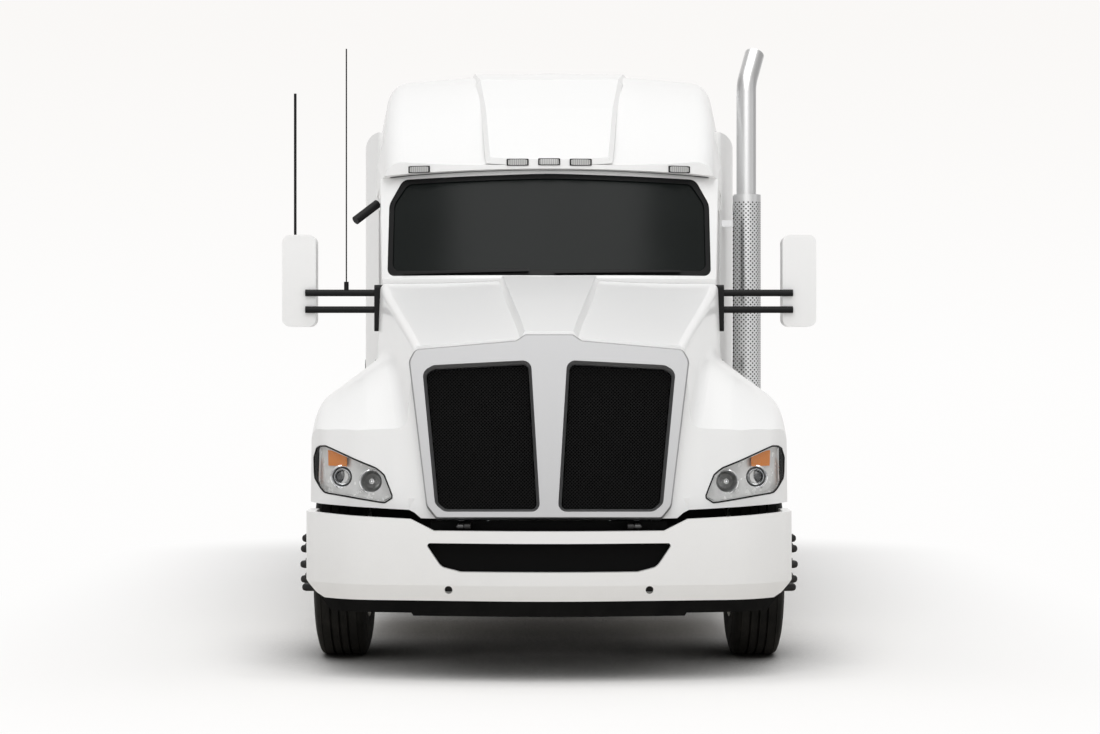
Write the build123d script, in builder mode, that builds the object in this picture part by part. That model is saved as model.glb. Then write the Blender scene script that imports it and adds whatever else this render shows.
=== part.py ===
from build123d import *
from math import atan2, cos, degrees, radians, sin, sqrt
import os

# A highway tractor unit with a sleeper, in millimetres.
# +X is the truck's left, -Y is forward, +Z is up. The origin is on the ground, midway along.
# "Back" distances are measured rearwards from the bumper's front face.

# Whole vehicle
overall_length = 8400
front_overhang = 1280
wheelbase = 5700
tandem_spread = 1320
seat_gap = 0.3

# Wheels and tyres
tyre_radius = 510
rim_seat_radius = 286
steer_tyre_width = 280
drive_tyre_width = 270
steer_tyre_face = 1275
drive_tyre_face = 1235
dual_spacing = 335
stud_circle_radius = 142.9
stud_count = 10
stud_cover_radius = 19
hub_radius = 108

# Frame
rail_outer = 432
rail_flange = 90
rail_wall = 9
rail_bottom = 740
rail_top = 1010
rail_front_back = 350
rail_rear_back = 8380
crossmember_bottom = 860

# Steering axle
kingpin_x = 935
kingpin_radius = 25
spindle_radius = 40
axle_beam_half_depth = 55
spring_inner_x = 435
spring_outer_x = 530
spring_half_length = 650

# Cab and sleeper
cab_bottom = 980
cab_floor = 1260
floor_thickness = 50
cab_wall = 60
cab_front_back = 1900
cab_corner_back = 2060
cab_corner_x = 985
cab_rear_back = 3170
cab_rear_x = 1090
cowl_height = 2120
windshield_front_back = 1905
windshield_corner_back = 2170
windshield_lean = 430 / 640
seam_front_height = 2790
seam_rear_height = 2690
sleeper_front_back = 3178
sleeper_flare_back = 3600
sleeper_rear_back = 5050
sleeper_half_width = 1210
sleeper_top = 3100
sleeper_shoulder = 90

# Doors
door_front_back = 2200
door_rear_back = 3125
door_bottom = 1000
door_top = 2640
door_gap = 8

# Hood
hood_wall = 38
hood_pivot_back = 110
hood_pivot_height = 785
hood_gap = 14
hood_pin_radius = 6
lug_thickness = 28
horn_radius = 12
horn_thickness = 30
tilt_tube_back = 320
tilt_tube_height = 890
tilt_tube_radius = 18
nose_back = 140
nose_bottom = 811
nose_rake = 190 / 940
arch_radius = 605

# Fifth wheel
fifth_wheel_back = 6800
fifth_wheel_pivot_height = 1100
fifth_wheel_top = 1200

front = -overall_length / 2
steer_y = front + front_overhang
tandem_y = steer_y + wheelbase
drive_rows = (("front", tandem_y - tandem_spread / 2), ("rear", tandem_y + tandem_spread / 2))
sides = (("left", 1), ("right", -1))
steer_tyre_x = steer_tyre_face - steer_tyre_width / 2
drive_outer_x = drive_tyre_face - drive_tyre_width / 2
drive_inner_x = drive_outer_x - dual_spacing
rail_inner = rail_outer - rail_flange

os.makedirs("parts", exist_ok=True)


def front_plane(back):
    """A plane that faces forward, with x to the truck's left and y up."""
    return Plane(origin=(0, front + back, 0), x_dir=(1, 0, 0), z_dir=(0, -1, 0))


def axle_plane(y):
    """A level plane through an axle's centre line, with x outwards and y along the truck."""
    return Plane(origin=(0, y, tyre_radius))


def both_halves(half):
    """A half outline's points from the bottom up, then the same ones mirrored, as one ring."""
    return list(half) + [(-x, z) for x, z in reversed(half) if abs(x) > 0.001]


# Frame rails with crossmembers
crossmember_rows = (430, 3000, 4300, 5600, 6980, 8330)  # distance back of each
with BuildPart() as frame_rails:
    with BuildSketch(front_plane(rail_front_back)):
        with BuildLine():
            Polyline(
                (rail_inner, rail_bottom),
                (rail_outer, rail_bottom),
                (rail_outer, rail_top),
                (rail_inner, rail_top),
                (rail_inner, rail_top - rail_wall),
                (rail_outer - rail_wall, rail_top - rail_wall),
                (rail_outer - rail_wall, rail_bottom + rail_wall),
                (rail_inner, rail_bottom + rail_wall),
                close=True,
            )
        make_face()
        mirror(about=Plane.YZ)
    extrude(amount=rail_front_back - rail_rear_back)
    for back in crossmember_rows:
        with BuildSketch(front_plane(back)):
            with Locations((0, (crossmember_bottom + rail_top - rail_wall) / 2)):
                Rectangle(2 * (rail_outer - rail_wall), rail_top - rail_wall - crossmember_bottom)
        extrude(amount=-30)
    for sign in (-1, 1):
        with BuildSketch(Plane.YZ.offset(sign * rail_outer)):
            with Locations((front + (hood_pivot_back + rail_front_back) / 2, hood_pivot_height)):
                Rectangle(rail_front_back - hood_pivot_back, 2 * horn_radius)
            with Locations((front + hood_pivot_back, hood_pivot_height)):
                Circle(horn_radius)
        extrude(amount=-sign * horn_thickness)
        with BuildSketch(Plane.YZ.offset(sign * (rail_outer - horn_thickness))):
            with Locations((front + hood_pivot_back, hood_pivot_height)):
                Circle(hood_pin_radius)
        extrude(amount=sign * (horn_thickness + lug_thickness + 12))
frame_rails.part.label = "frame_rails"
export_step(frame_rails.part, "parts/frame_rails.step")

# Steering axle: a drop-centre beam with an eye for each kingpin, and its two leaf springs
beam_drop = 110
beam_height = 100
eye_height = 110
eye_radius = 55
leaf_thickness = 36
leaf_rise = 150
spring_seat = tyre_radius - beam_drop + beam_height / 2
with BuildPart() as front_axle:
    with BuildSketch(front_plane(front_overhang)):
        with BuildLine():
            Polyline(
                (0, tyre_radius - beam_drop - beam_height / 2),
                (spring_outer_x + 40, tyre_radius - beam_drop - beam_height / 2),
                (kingpin_x - eye_radius, tyre_radius - eye_height / 2),
                (kingpin_x, tyre_radius - eye_height / 2),
                (kingpin_x, tyre_radius + eye_height / 2),
                (kingpin_x - eye_radius, tyre_radius + eye_height / 2),
                (spring_outer_x + 20, spring_seat),
                (0, spring_seat),
                close=True,
            )
        make_face()
        mirror(about=Plane.YZ)
    extrude(amount=axle_beam_half_depth, both=True)
    for side, sign in sides:
        with BuildSketch(Plane.XY.offset(tyre_radius - eye_height / 2)):
            with Locations((sign * kingpin_x, steer_y)):
                Circle(eye_radius)
        extrude(amount=eye_height)
        with BuildSketch(Plane.XY.offset(tyre_radius - eye_height)):
            with Locations((sign * kingpin_x, steer_y)):
                Circle(kingpin_radius + seat_gap)
        extrude(amount=2 * eye_height, mode=Mode.SUBTRACT)
    for side, sign in sides:
        with BuildSketch(Plane.YZ.offset(sign * spring_inner_x)):
            with BuildLine():
                ThreePointArc(
                    (steer_y - spring_half_length, spring_seat + leaf_rise),
                    (steer_y, spring_seat),
                    (steer_y + spring_half_length, spring_seat + leaf_rise),
                )
                Line(
                    (steer_y + spring_half_length, spring_seat + leaf_rise),
                    (steer_y + spring_half_length, spring_seat + leaf_rise + leaf_thickness / 2),
                )
                ThreePointArc(
                    (steer_y + spring_half_length, spring_seat + leaf_rise + leaf_thickness / 2),
                    (steer_y, spring_seat + leaf_thickness),
                    (steer_y - spring_half_length, spring_seat + leaf_rise + leaf_thickness / 2),
                )
                Line(
                    (steer_y - spring_half_length, spring_seat + leaf_rise + leaf_thickness / 2),
                    (steer_y - spring_half_length, spring_seat + leaf_rise),
                )
            make_face()
        extrude(amount=sign * (spring_outer_x - spring_inner_x))
        for end in (-1, 1):
            eye_y = steer_y + end * spring_half_length
            with BuildSketch(Plane.YZ.offset(sign * rail_outer)):
                with BuildLine():
                    Polyline(
                        (eye_y - 45, spring_seat + leaf_rise - 30),
                        (eye_y + 45, spring_seat + leaf_rise - 30),
                        (eye_y + 70, rail_bottom + 120),
                        (eye_y - 70, rail_bottom + 120),
                        close=True,
                    )
                make_face()
            extrude(amount=sign * (spring_outer_x + 10 - rail_outer))
front_axle.part.label = "front_axle"
export_step(front_axle.part, "parts/front_axle.step")

# Steering knuckles: a fork round the axle's eye, the kingpin, the spindle and a brake plate
fork_gap = 1
fork_thickness = 34
spindle_end_x = 1165
brake_plate_x = 1010
for side, sign in sides:
    with BuildPart() as knuckle:
        for foot in (tyre_radius - eye_height / 2 - fork_gap - fork_thickness,
                     tyre_radius + eye_height / 2 + fork_gap):
            with BuildSketch(Plane.XY.offset(foot)):
                with Locations((sign * kingpin_x, steer_y)):
                    Circle(eye_radius)
                with Locations((sign * (kingpin_x + brake_plate_x) / 2, steer_y)):
                    Rectangle(brake_plate_x - kingpin_x, 2 * eye_radius)
            extrude(amount=fork_thickness)
        with BuildSketch(Plane.XY.offset(tyre_radius - eye_height)):
            with Locations((sign * kingpin_x, steer_y)):
                Circle(kingpin_radius)
        extrude(amount=2 * eye_height)
        with BuildSketch(Plane.YZ.offset(sign * (kingpin_x + eye_radius + 6))):
            with Locations((steer_y, tyre_radius)):
                Circle(120)
        extrude(amount=sign * (brake_plate_x - kingpin_x - eye_radius - 6))
        with BuildSketch(Plane.YZ.offset(sign * brake_plate_x)):
            with Locations((steer_y, tyre_radius)):
                Circle(spindle_radius)
        extrude(amount=sign * (spindle_end_x - brake_plate_x))
    knuckle.part.label = f"knuckle_{side}"
    export_step(knuckle.part, f"parts/knuckle_{side}.step")


def tyre_outline(centre_x, width):
    """Half section of a tyre whose beads stand on the rim, as points of distance out and radius."""
    half = width / 2
    shape = (
        (-half + 24, rim_seat_radius + seat_gap),
        (-half, 395),
        (-half + 22, tyre_radius - 10),
        (-half + 48, tyre_radius),
        (half - 48, tyre_radius),
        (half - 22, tyre_radius - 10),
        (half, 395),
        (half - 24, rim_seat_radius + seat_gap),
        (half - 52, rim_seat_radius + seat_gap),
        (half - 36, 440),
        (-half + 36, 440),
        (-half + 52, rim_seat_radius + seat_gap),
    )
    return [(centre_x + x, radius) for x, radius in shape]


def rim_barrel(centre_x, width, root_x, disc_x):
    """Half section of a rim, from whose barrel a dished disc runs in to the hub."""
    half = width / 2 - 20
    return [
        (centre_x - half, rim_seat_radius),
        (centre_x - half, rim_seat_radius + 14),
        (centre_x - half - 14, rim_seat_radius + 14),
        (centre_x - half - 14, rim_seat_radius - 12),
        (root_x, rim_seat_radius - 12),
        (disc_x, dish_radius),
        (disc_x, hub_radius - 4),
        (disc_x + disc_thickness, hub_radius - 4),
        (disc_x + disc_thickness, dish_radius),
        (root_x + disc_thickness, rim_seat_radius - 12),
        (centre_x + half + 14, rim_seat_radius - 12),
        (centre_x + half + 14, rim_seat_radius + 14),
        (centre_x + half, rim_seat_radius + 14),
        (centre_x + half, rim_seat_radius),
    ]


# Steered wheels: one tyre each, and a rim with its hub, stud covers and hand holes
steer_disc_x = 1239
steer_root_x = 1190
disc_thickness = 16
dish_radius = 240
hand_hole_circle = 212
hand_hole_radius = 26
steer_hub_end_x = 1300
stud_tip_x = 1330
for side, sign in sides:
    wheel_axis = Axis((0, steer_y, tyre_radius), (sign, 0, 0))
    with BuildPart() as tyre:
        with BuildSketch(axle_plane(steer_y)):
            with BuildLine():
                Polyline(
                    *[(sign * x, r) for x, r in tyre_outline(steer_tyre_x, steer_tyre_width)], close=True,
                )
            make_face()
        revolve(axis=wheel_axis)
    tyre.part.label = f"tyre_front_{side}"
    export_step(tyre.part, f"parts/tyre_front_{side}.step")
    with BuildPart() as rim:
        with BuildSketch(axle_plane(steer_y)):
            with BuildLine():
                Polyline(
                    *[(sign * x, r) for x, r in rim_barrel(
                        steer_tyre_x, steer_tyre_width, steer_root_x, steer_disc_x)],
                    close=True,
                )
            make_face()
            with BuildLine():
                Polyline(
                    (sign * (brake_plate_x + 6), spindle_radius + seat_gap),
                    (sign * (brake_plate_x + 6), 190),
                    (sign * (brake_plate_x + 150), 190),
                    (sign * (brake_plate_x + 150), hub_radius),
                    (sign * (steer_disc_x + disc_thickness), hub_radius),
                    (sign * steer_hub_end_x, hub_radius - 30),
                    (sign * steer_hub_end_x, 0),
                    (sign * (spindle_end_x + 5), 0),
                    (sign * (spindle_end_x + 5), spindle_radius + seat_gap),
                    close=True,
                )
            make_face()
        revolve(axis=wheel_axis)
        face_plane = Plane(origin=(sign * (steer_disc_x - disc_thickness), steer_y, tyre_radius),
                           x_dir=(0, 1, 0), z_dir=(sign, 0, 0))
        with BuildSketch(face_plane):
            with PolarLocations(hand_hole_circle, stud_count, start_angle=18):
                Circle(hand_hole_radius)
        extrude(amount=3 * disc_thickness, mode=Mode.SUBTRACT)
        with BuildSketch(face_plane):
            with PolarLocations(stud_circle_radius, stud_count):
                RegularPolygon(stud_cover_radius, 6)
        extrude(amount=stud_tip_x - steer_disc_x + disc_thickness)
    rim.part.label = f"rim_front_{side}"
    export_step(rim.part, f"parts/rim_front_{side}.step")

# Drive wheels: two tyres and two rims on one hub, dished inwards
drive_disc_x = (drive_outer_x + drive_inner_x) / 2
drive_dish = 95
drive_hub_end_x = 1150
drive_spindle_end_x = 1080
drum_inner_x = 640
for row, axle_y in drive_rows:
    for side, sign in sides:
        wheel_axis = Axis((0, axle_y, tyre_radius), (sign, 0, 0))
        with BuildPart() as tyres:
            for centre_x in (drive_outer_x, drive_inner_x):
                with BuildSketch(axle_plane(axle_y)):
                    with BuildLine():
                        Polyline(
                            *[(sign * x, r) for x, r in tyre_outline(centre_x, drive_tyre_width)], close=True,
                        )
                    make_face()
                revolve(axis=wheel_axis)
        tyres.part.label = f"tyres_drive_{row}_{side}"
        export_step(tyres.part, f"parts/tyres_drive_{row}_{side}.step")
        with BuildPart() as rims:
            with BuildSketch(axle_plane(axle_y)):
                for centre_x, root_x, disc_x in (
                    (drive_outer_x, drive_outer_x - drive_dish, drive_disc_x),
                    (drive_inner_x, drive_inner_x + drive_dish - disc_thickness, drive_disc_x - disc_thickness),
                ):
                    with BuildLine():
                        Polyline(
                            *[(sign * x, r) for x, r in rim_barrel(
                                centre_x, drive_tyre_width, root_x, disc_x)],
                            close=True,
                        )
                    make_face()
                with BuildLine():
                    Polyline(
                        (sign * drum_inner_x, spindle_radius + seat_gap),
                        (sign * drum_inner_x, 205),
                        (sign * (drive_disc_x - disc_thickness), 205),
                        (sign * (drive_disc_x - disc_thickness), hub_radius),
                        (sign * (drive_disc_x + disc_thickness), hub_radius),
                        (sign * (drive_hub_end_x - 40), hub_radius - 20),
                        (sign * drive_hub_end_x, hub_radius - 50),
                        (sign * drive_hub_end_x, 0),
                        (sign * (drive_spindle_end_x + 5), 0),
                        (sign * (drive_spindle_end_x + 5), spindle_radius + seat_gap),
                        close=True,
                    )
                make_face()
            revolve(axis=wheel_axis)
            face_plane = Plane(origin=(sign * (drive_disc_x - 2 * disc_thickness), axle_y, tyre_radius),
                               x_dir=(0, 1, 0), z_dir=(sign, 0, 0))
            with BuildSketch(face_plane):
                with PolarLocations(hand_hole_circle, stud_count, start_angle=18):
                    Circle(hand_hole_radius)
            extrude(amount=4 * disc_thickness, mode=Mode.SUBTRACT)
            with BuildSketch(face_plane):
                with PolarLocations(stud_circle_radius, stud_count):
                    RegularPolygon(stud_cover_radius, 6)
            extrude(amount=3 * disc_thickness + 55)
        rims.part.label = f"rims_drive_{row}_{side}"
        export_step(rims.part, f"parts/rims_drive_{row}_{side}.step")

# Drive axles: a housing with its round carrier, and a spindle out to each hub. The gearbox behind
# the engine drives them through the propeller shaft.
axle_tube_radius = 62
carrier_radius = 185
pinion_rise = 60
pinion_length = 300
through_length = 230
gearbox_length = 900
shaft_radius = 48
shaft_height = 700
engine_rear_back = 1820
with BuildPart() as drive_axles:
    for row, axle_y in drive_rows:
        with BuildSketch(axle_plane(axle_y)):
            with BuildLine():
                Polyline(
                    (0, 0),
                    (0, carrier_radius),
                    (110, carrier_radius - 25),
                    (250, axle_tube_radius),
                    (drum_inner_x - 60, axle_tube_radius),
                    (drum_inner_x - 60, 120),
                    (drum_inner_x - 12, 120),
                    (drum_inner_x - 12, spindle_radius),
                    (drive_spindle_end_x, spindle_radius),
                    (drive_spindle_end_x, 0),
                    close=True,
                )
            make_face()
            mirror(about=Plane.YZ)
        revolve(axis=Axis((0, axle_y, tyre_radius), (1, 0, 0)))
        with BuildSketch(Plane.XZ.offset(-axle_y)):
            with Locations((0, tyre_radius + pinion_rise)):
                Circle(95)
        extrude(amount=pinion_length)
    with BuildSketch(Plane.XZ.offset(-drive_rows[0][1])):
        with Locations((0, tyre_radius + pinion_rise)):
            Circle(60)
    extrude(amount=-through_length)
    with BuildSketch(Plane.XZ.offset(-drive_rows[0][1])):
        with Locations((0, tyre_radius + pinion_rise)):
            Circle(shaft_radius)
    extrude(amount=-tandem_spread)
    with BuildPart(mode=Mode.PRIVATE) as gearbox:
        with BuildSketch(front_plane(engine_rear_back)):
            with Locations((0, shaft_height + 80)):
                Circle(230)
        with BuildSketch(front_plane(engine_rear_back + gearbox_length)):
            with Locations((0, shaft_height)):
                Circle(110)
        loft()
    add(gearbox.part)
    with BuildLine():
        run = Line(
            (0, front + engine_rear_back + gearbox_length - 10, shaft_height),
            (0, drive_rows[0][1] - pinion_length + 10, tyre_radius + pinion_rise),
        )
    with BuildSketch(Plane(origin=run @ 0, z_dir=run % 0)):
        Circle(shaft_radius)
    sweep()
drive_axles.part.label = "drive_axles"
export_step(drive_axles.part, "parts/drive_axles.step")
# Rear suspension: hangers, trailing arms over the axle and air springs under the rails
arm_bottom = tyre_radius + axle_tube_radius
arm_thickness = 50
arm_front = 470
arm_rear = 430
air_spring_radius = 115
with BuildPart() as rear_suspension:
    for row, axle_y in drive_rows:
        for side, sign in sides:
            arm_x = sign * (rail_inner + rail_outer) / 2
            with BuildSketch(Plane.YZ.offset(arm_x - 45)):
                with BuildLine():
                    Polyline(
                        (axle_y - arm_front - 60, rail_bottom),
                        (axle_y - arm_front - 50, arm_bottom - 40),
                        (axle_y - arm_front + 50, arm_bottom - 40),
                        (axle_y - arm_front + 60, arm_bottom),
                        (axle_y + arm_rear, arm_bottom),
                        (axle_y + arm_rear, arm_bottom + arm_thickness),
                        (axle_y - arm_front + 80, arm_bottom + arm_thickness),
                        (axle_y - arm_front + 60, rail_bottom),
                        close=True,
                    )
                make_face()
            extrude(amount=90)
            with BuildSketch(Plane.XY.offset(arm_bottom + arm_thickness)):
                with Locations((arm_x, axle_y + arm_rear - air_spring_radius)):
                    Circle(air_spring_radius)
            extrude(amount=rail_bottom - arm_bottom - arm_thickness)
rear_suspension.part.label = "rear_suspension"
export_step(rear_suspension.part, "parts/rear_suspension.step")

# Engine, a plain block between the rails, with a mounting foot to each rail
engine_front_back = 800
engine_half_width = 330
engine_bottom = 620
engine_top = 1640
with BuildPart() as engine_block:
    with BuildSketch(front_plane(engine_front_back)):
        with BuildLine():
            Polyline(
                (-engine_half_width + 110, engine_bottom),
                (engine_half_width - 110, engine_bottom),
                (engine_half_width, engine_bottom + 160),
                (engine_half_width, engine_top - 260),
                (engine_half_width - 120, engine_top),
                (-engine_half_width + 120, engine_top),
                (-engine_half_width, engine_top - 260),
                (-engine_half_width, engine_bottom + 160),
                close=True,
            )
        make_face()
    extrude(amount=engine_front_back - engine_rear_back)
    for back in (engine_front_back + 200, engine_rear_back - 200):
        with BuildSketch(front_plane(back)):
            with Locations((0, (rail_bottom + rail_top) / 2)):
                Rectangle(2 * (rail_outer - rail_wall), 120)
        extrude(amount=-90)
engine_block.part.label = "engine_block"
export_step(engine_block.part, "parts/engine_block.step")

# Radiator pack on the first crossmember
radiator_back = 480
radiator_depth = 140
with BuildPart() as radiator:
    with BuildSketch(front_plane(radiator_back)):
        with Locations((0, (rail_top + 1450) / 2)):
            Rectangle(900, 1450 - rail_top)
    extrude(amount=-radiator_depth)
    fillet(radiator.edges().filter_by(Axis.Y), radius=25)
radiator.part.label = "radiator"
export_step(radiator.part, "parts/radiator.step")

# Fuel tanks: a drum along each rail, held by straps whose brackets hang from the rail
tank_radius = 310
tank_x = 782
tank_height = 620
tank_front_back = 3450
tank_rear_back = 4950
strap_width = 60
strap_thickness = 8
strap_backs = (3700, 4200, 4700)
with BuildPart() as fuel_tanks:
    for side, sign in sides:
        with BuildSketch(Plane(origin=(sign * tank_x, front + tank_front_back, tank_height),
                               x_dir=(1, 0, 0), z_dir=(0, -1, 0))):
            Circle(tank_radius)
        extrude(amount=tank_front_back - tank_rear_back)
    fillet(fuel_tanks.edges().filter_by(GeomType.CIRCLE), radius=30)
    for back in strap_backs:
        for side, sign in sides:
            with BuildSketch(front_plane(back)):
                with Locations((sign * tank_x, tank_height)):
                    Circle(tank_radius + strap_thickness)
                with BuildLine():
                    Polyline(
                        (sign * rail_outer, rail_bottom + 20),
                        (sign * rail_outer, rail_top - 10),
                        (sign * (rail_outer + 60), rail_top - 10),
                        (sign * tank_x, tank_height + 60),
                        (sign * tank_x, tank_height - tank_radius - strap_thickness),
                        (sign * (tank_x - 200), tank_height - tank_radius - strap_thickness),
                        (sign * (rail_outer + 30), tank_height - 160),
                        close=True,
                    )
                make_face()
            extrude(amount=-strap_width)
fuel_tanks.part.label = "fuel_tanks"
export_step(fuel_tanks.part, "parts/fuel_tanks.step")

# Cab steps: a fairing under each door with two step recesses, hung on the rail
step_front_back = 2060
step_rear_back = 3120
step_inner = 480
step_outer = 1150
step_bottom = 330
step_top = 930
with BuildPart() as cab_steps:
    with BuildSketch(front_plane(step_front_back)):
        with BuildLine():
            Polyline(
                (rail_outer, rail_bottom + 20),
                (step_inner, rail_bottom + 20),
                (step_inner, step_bottom + 60),
                (step_inner + 60, step_bottom),
                (step_outer - 80, step_bottom),
                (step_outer, step_bottom + 60),
                (step_outer - 40, step_top),
                (rail_outer, step_top),
                close=True,
            )
        make_face()
    extrude(amount=step_front_back - step_rear_back)
    for foot in (step_bottom + 90, step_bottom + 370):
        with BuildSketch(Plane.XY.offset(foot)):
            with Locations(((step_outer - 100 + 200), front + (step_front_back + step_rear_back) / 2)):
                Rectangle(400, step_rear_back - step_front_back - 260)
        extrude(amount=190, mode=Mode.SUBTRACT)
    mirror(about=Plane.YZ)
cab_steps.part.label = "cab_steps"
export_step(cab_steps.part, "parts/cab_steps.step")

# Deck plate on the rails behind the sleeper
deck_front_back = 5110
deck_rear_back = 5900
with BuildPart() as deck_plate:
    with BuildSketch(Plane.XY.offset(rail_top)):
        with Locations((0, front + (deck_front_back + deck_rear_back) / 2)):
            RectangleRounded(2 * rail_outer, deck_rear_back - deck_front_back, 30)
    extrude(amount=14)
deck_plate.part.label = "deck_plate"
export_step(deck_plate.part, "parts/deck_plate.step")

# Fifth wheel base: a pedestal on each rail, with the pin that the plate rocks on
fifth_y = front + fifth_wheel_back
pedestal_inner = 350
pivot_pin_radius = 24
pin_inner_x = 290
with BuildPart() as fifth_wheel_base:
    with BuildSketch(Plane.YZ.offset(pedestal_inner)):
        with BuildLine():
            Polyline(
                (fifth_y - 300, rail_top),
                (fifth_y + 300, rail_top),
                (fifth_y + 300, rail_top + 20),
                (fifth_y + 60, fifth_wheel_pivot_height + 40),
                (fifth_y - 60, fifth_wheel_pivot_height + 40),
                (fifth_y - 300, rail_top + 20),
                close=True,
            )
        make_face()
    extrude(amount=70)
    with BuildSketch(Plane.YZ.offset(pin_inner_x)):
        with Locations((fifth_y, fifth_wheel_pivot_height)):
            Circle(pivot_pin_radius)
    extrude(amount=pedestal_inner - pin_inner_x)
    mirror(about=Plane.YZ)
fifth_wheel_base.part.label = "fifth_wheel_base"
export_step(fifth_wheel_base.part, "parts/fifth_wheel_base.step")

# Fifth wheel plate: a rounded plate with a throat open to the back and two ears under it
plate_half_width = 460
plate_front = 400
plate_rear = 450
plate_thickness = 40
kingpin_bore_radius = 25.9
throat_half_width = 130
ear_thickness = 36
with BuildPart() as fifth_wheel:
    with BuildSketch(Plane.XY.offset(fifth_wheel_top - plate_thickness)):
        with BuildLine():
            FilletPolyline(
                (-plate_half_width, fifth_y + 60),
                (-plate_half_width + 90, fifth_y - plate_front),
                (plate_half_width - 90, fifth_y - plate_front),
                (plate_half_width, fifth_y + 60),
                (plate_half_width - 60, fifth_y + plate_rear),
                (throat_half_width, fifth_y + plate_rear),
                (30, fifth_y + 90),
                (-30, fifth_y + 90),
                (-throat_half_width, fifth_y + plate_rear),
                (-plate_half_width + 60, fifth_y + plate_rear),
                radius=[120, 90, 90, 120, 50, 20, 4, 4, 20, 50],
                close=True,
            )
        make_face()
        with Locations((0, fifth_y)):
            Circle(kingpin_bore_radius, mode=Mode.SUBTRACT)
    extrude(amount=plate_thickness)
    for sign in (-1, 1):
        with BuildSketch(Plane.YZ.offset(sign * (pin_inner_x + 10))):
            with BuildLine():
                Polyline(
                    (fifth_y - 130, fifth_wheel_top - plate_thickness),
                    (fifth_y - 45, fifth_wheel_pivot_height - 30),
                    (fifth_y + 45, fifth_wheel_pivot_height - 30),
                    (fifth_y + 130, fifth_wheel_top - plate_thickness),
                    close=True,
                )
            make_face()
            with Locations((fifth_y, fifth_wheel_pivot_height)):
                Circle(pivot_pin_radius + seat_gap, mode=Mode.SUBTRACT)
        extrude(amount=sign * ear_thickness)
fifth_wheel.part.label = "fifth_wheel"
export_step(fifth_wheel.part, "parts/fifth_wheel.step")

# Rear mudflaps: a hanger across the rails' ends, two flaps and the tail lamps
flap_back = 8330
with BuildPart() as rear_mudflaps:
    with BuildSketch(front_plane(flap_back)):
        with Locations(((rail_outer + 1220) / 2, 960)):
            Rectangle(1220 - rail_outer, 60)
    extrude(amount=-50)
    with BuildSketch(front_plane(flap_back + 20)):
        with Locations((910, 595)):
            Rectangle(600, 680)
    extrude(amount=-12)
    mirror(about=Plane.YZ)
rear_mudflaps.part.label = "rear_mudflaps"
export_step(rear_mudflaps.part, "parts/rear_mudflaps.step")

with BuildPart() as tail_lamps:
    for sign in (-1, 1):
        with BuildSketch(front_plane(flap_back + 50)):
            with GridLocations(150, 1, 3, 1):
                with Locations((sign * 640, 960)):
                    Circle(26)
        extrude(amount=-20)
tail_lamps.part.label = "tail_lamps"
export_step(tail_lamps.part, "parts/tail_lamps.step")

# Bumper: a swept wall with its corners turned back, an air intake and two tow holes
bumper_wall = 48
bumper_apex = -21.5
bumper_half_width = 1266
bumper_side_back = 620
bumper_bottom = 413
bumper_crease = 492
bumper_lean = 11
bracket_bottom = 716
shelf_height = 755
shelf_thickness = 4
shelf_half_width = 600
bumper_depth_limit = 250


def bumper_plan(inset):
    """The bumper's plan, closed behind, with its faces moved inwards by the inset."""
    half = (
        (bumper_half_width, front + 1200),
        (bumper_half_width, front + 335),
        (1035, front + 112),
    )
    with BuildSketch() as plan:
        with BuildLine():
            FilletPolyline(
                *half, (0, front + bumper_apex), *[(-x, y) for x, y in reversed(half)],
                radius=[0, 170, 420, 2600, 420, 170, 0], close=True,
            )
        make_face()
        if inset:
            offset(amount=-inset)
    return plan.sketch


def bumper_skirt():
    """The bumper's outer body with its lowest part leaning back."""
    with BuildPart() as body:
        extrude(Plane.XY.offset(bumper_crease) * bumper_plan(0), amount=860 - bumper_crease)
        extrude(Plane.XY.offset(bumper_crease) * bumper_plan(0), amount=bumper_bottom - bumper_crease,
                taper=bumper_lean)
        extrude(Plane.XY.offset(bumper_bottom) * bumper_plan(bumper_wall), amount=860 - bumper_bottom,
                mode=Mode.SUBTRACT)
    return body.part


def bumper_slice(outer_inset, inner_inset, bottom, top):
    """A wall between two insets of the bumper's plan, from one height to another."""
    with BuildPart() as wall:
        extrude(Plane.XY.offset(bottom) * bumper_plan(outer_inset), amount=top - bottom)
        extrude(Plane.XY.offset(bottom) * bumper_plan(inner_inset), amount=top - bottom, mode=Mode.SUBTRACT)
    return wall.part


bumper_face = both_halves((
    (1158, bumper_bottom),
    (1200, bumper_bottom + 22),
    (1272, 505),
    (1300, 560),
    (1300, 852),
    (1215, 849),
    (705, 826),
    (585, 767),
))
with BuildPart() as front_bumper:
    add(bumper_skirt())
    with BuildSketch(front_plane(-50)):
        with BuildLine():
            Polyline(*bumper_face, close=True)
        make_face()
    extrude(amount=-50 - bumper_side_back, mode=Mode.INTERSECT)
    with BuildSketch(front_plane(-50)):
        with BuildLine():
            FilletPolyline(
                (-630, 706), (-548, 585), (-450, 560), (450, 560), (548, 585), (630, 706),
                radius=[14, 60, 60, 60, 60, 14], close=True,
            )
        make_face()
        with Locations((-510, 469), (510, 469)):
            Circle(20)
    extrude(amount=-bumper_depth_limit, mode=Mode.SUBTRACT)
    for sign in (-1, 1):
        with BuildSketch(front_plane(70)):
            with Locations((sign * (rail_inner + rail_outer) / 2, (bracket_bottom + shelf_height) / 2)):
                Rectangle(rail_flange, shelf_height - bracket_bottom)
        extrude(amount=70 - rail_front_back)
front_bumper.part.label = "front_bumper"
export_step(front_bumper.part, "parts/front_bumper.step")

with BuildPart() as bumper_insert:
    add(bumper_slice(bumper_wall + seat_gap, bumper_wall + 14, 540, 725))
    with BuildSketch(front_plane(-50)):
        with Locations((0, 627)):
            Rectangle(1320, 170)
    extrude(amount=-bumper_depth_limit, mode=Mode.INTERSECT)

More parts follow.
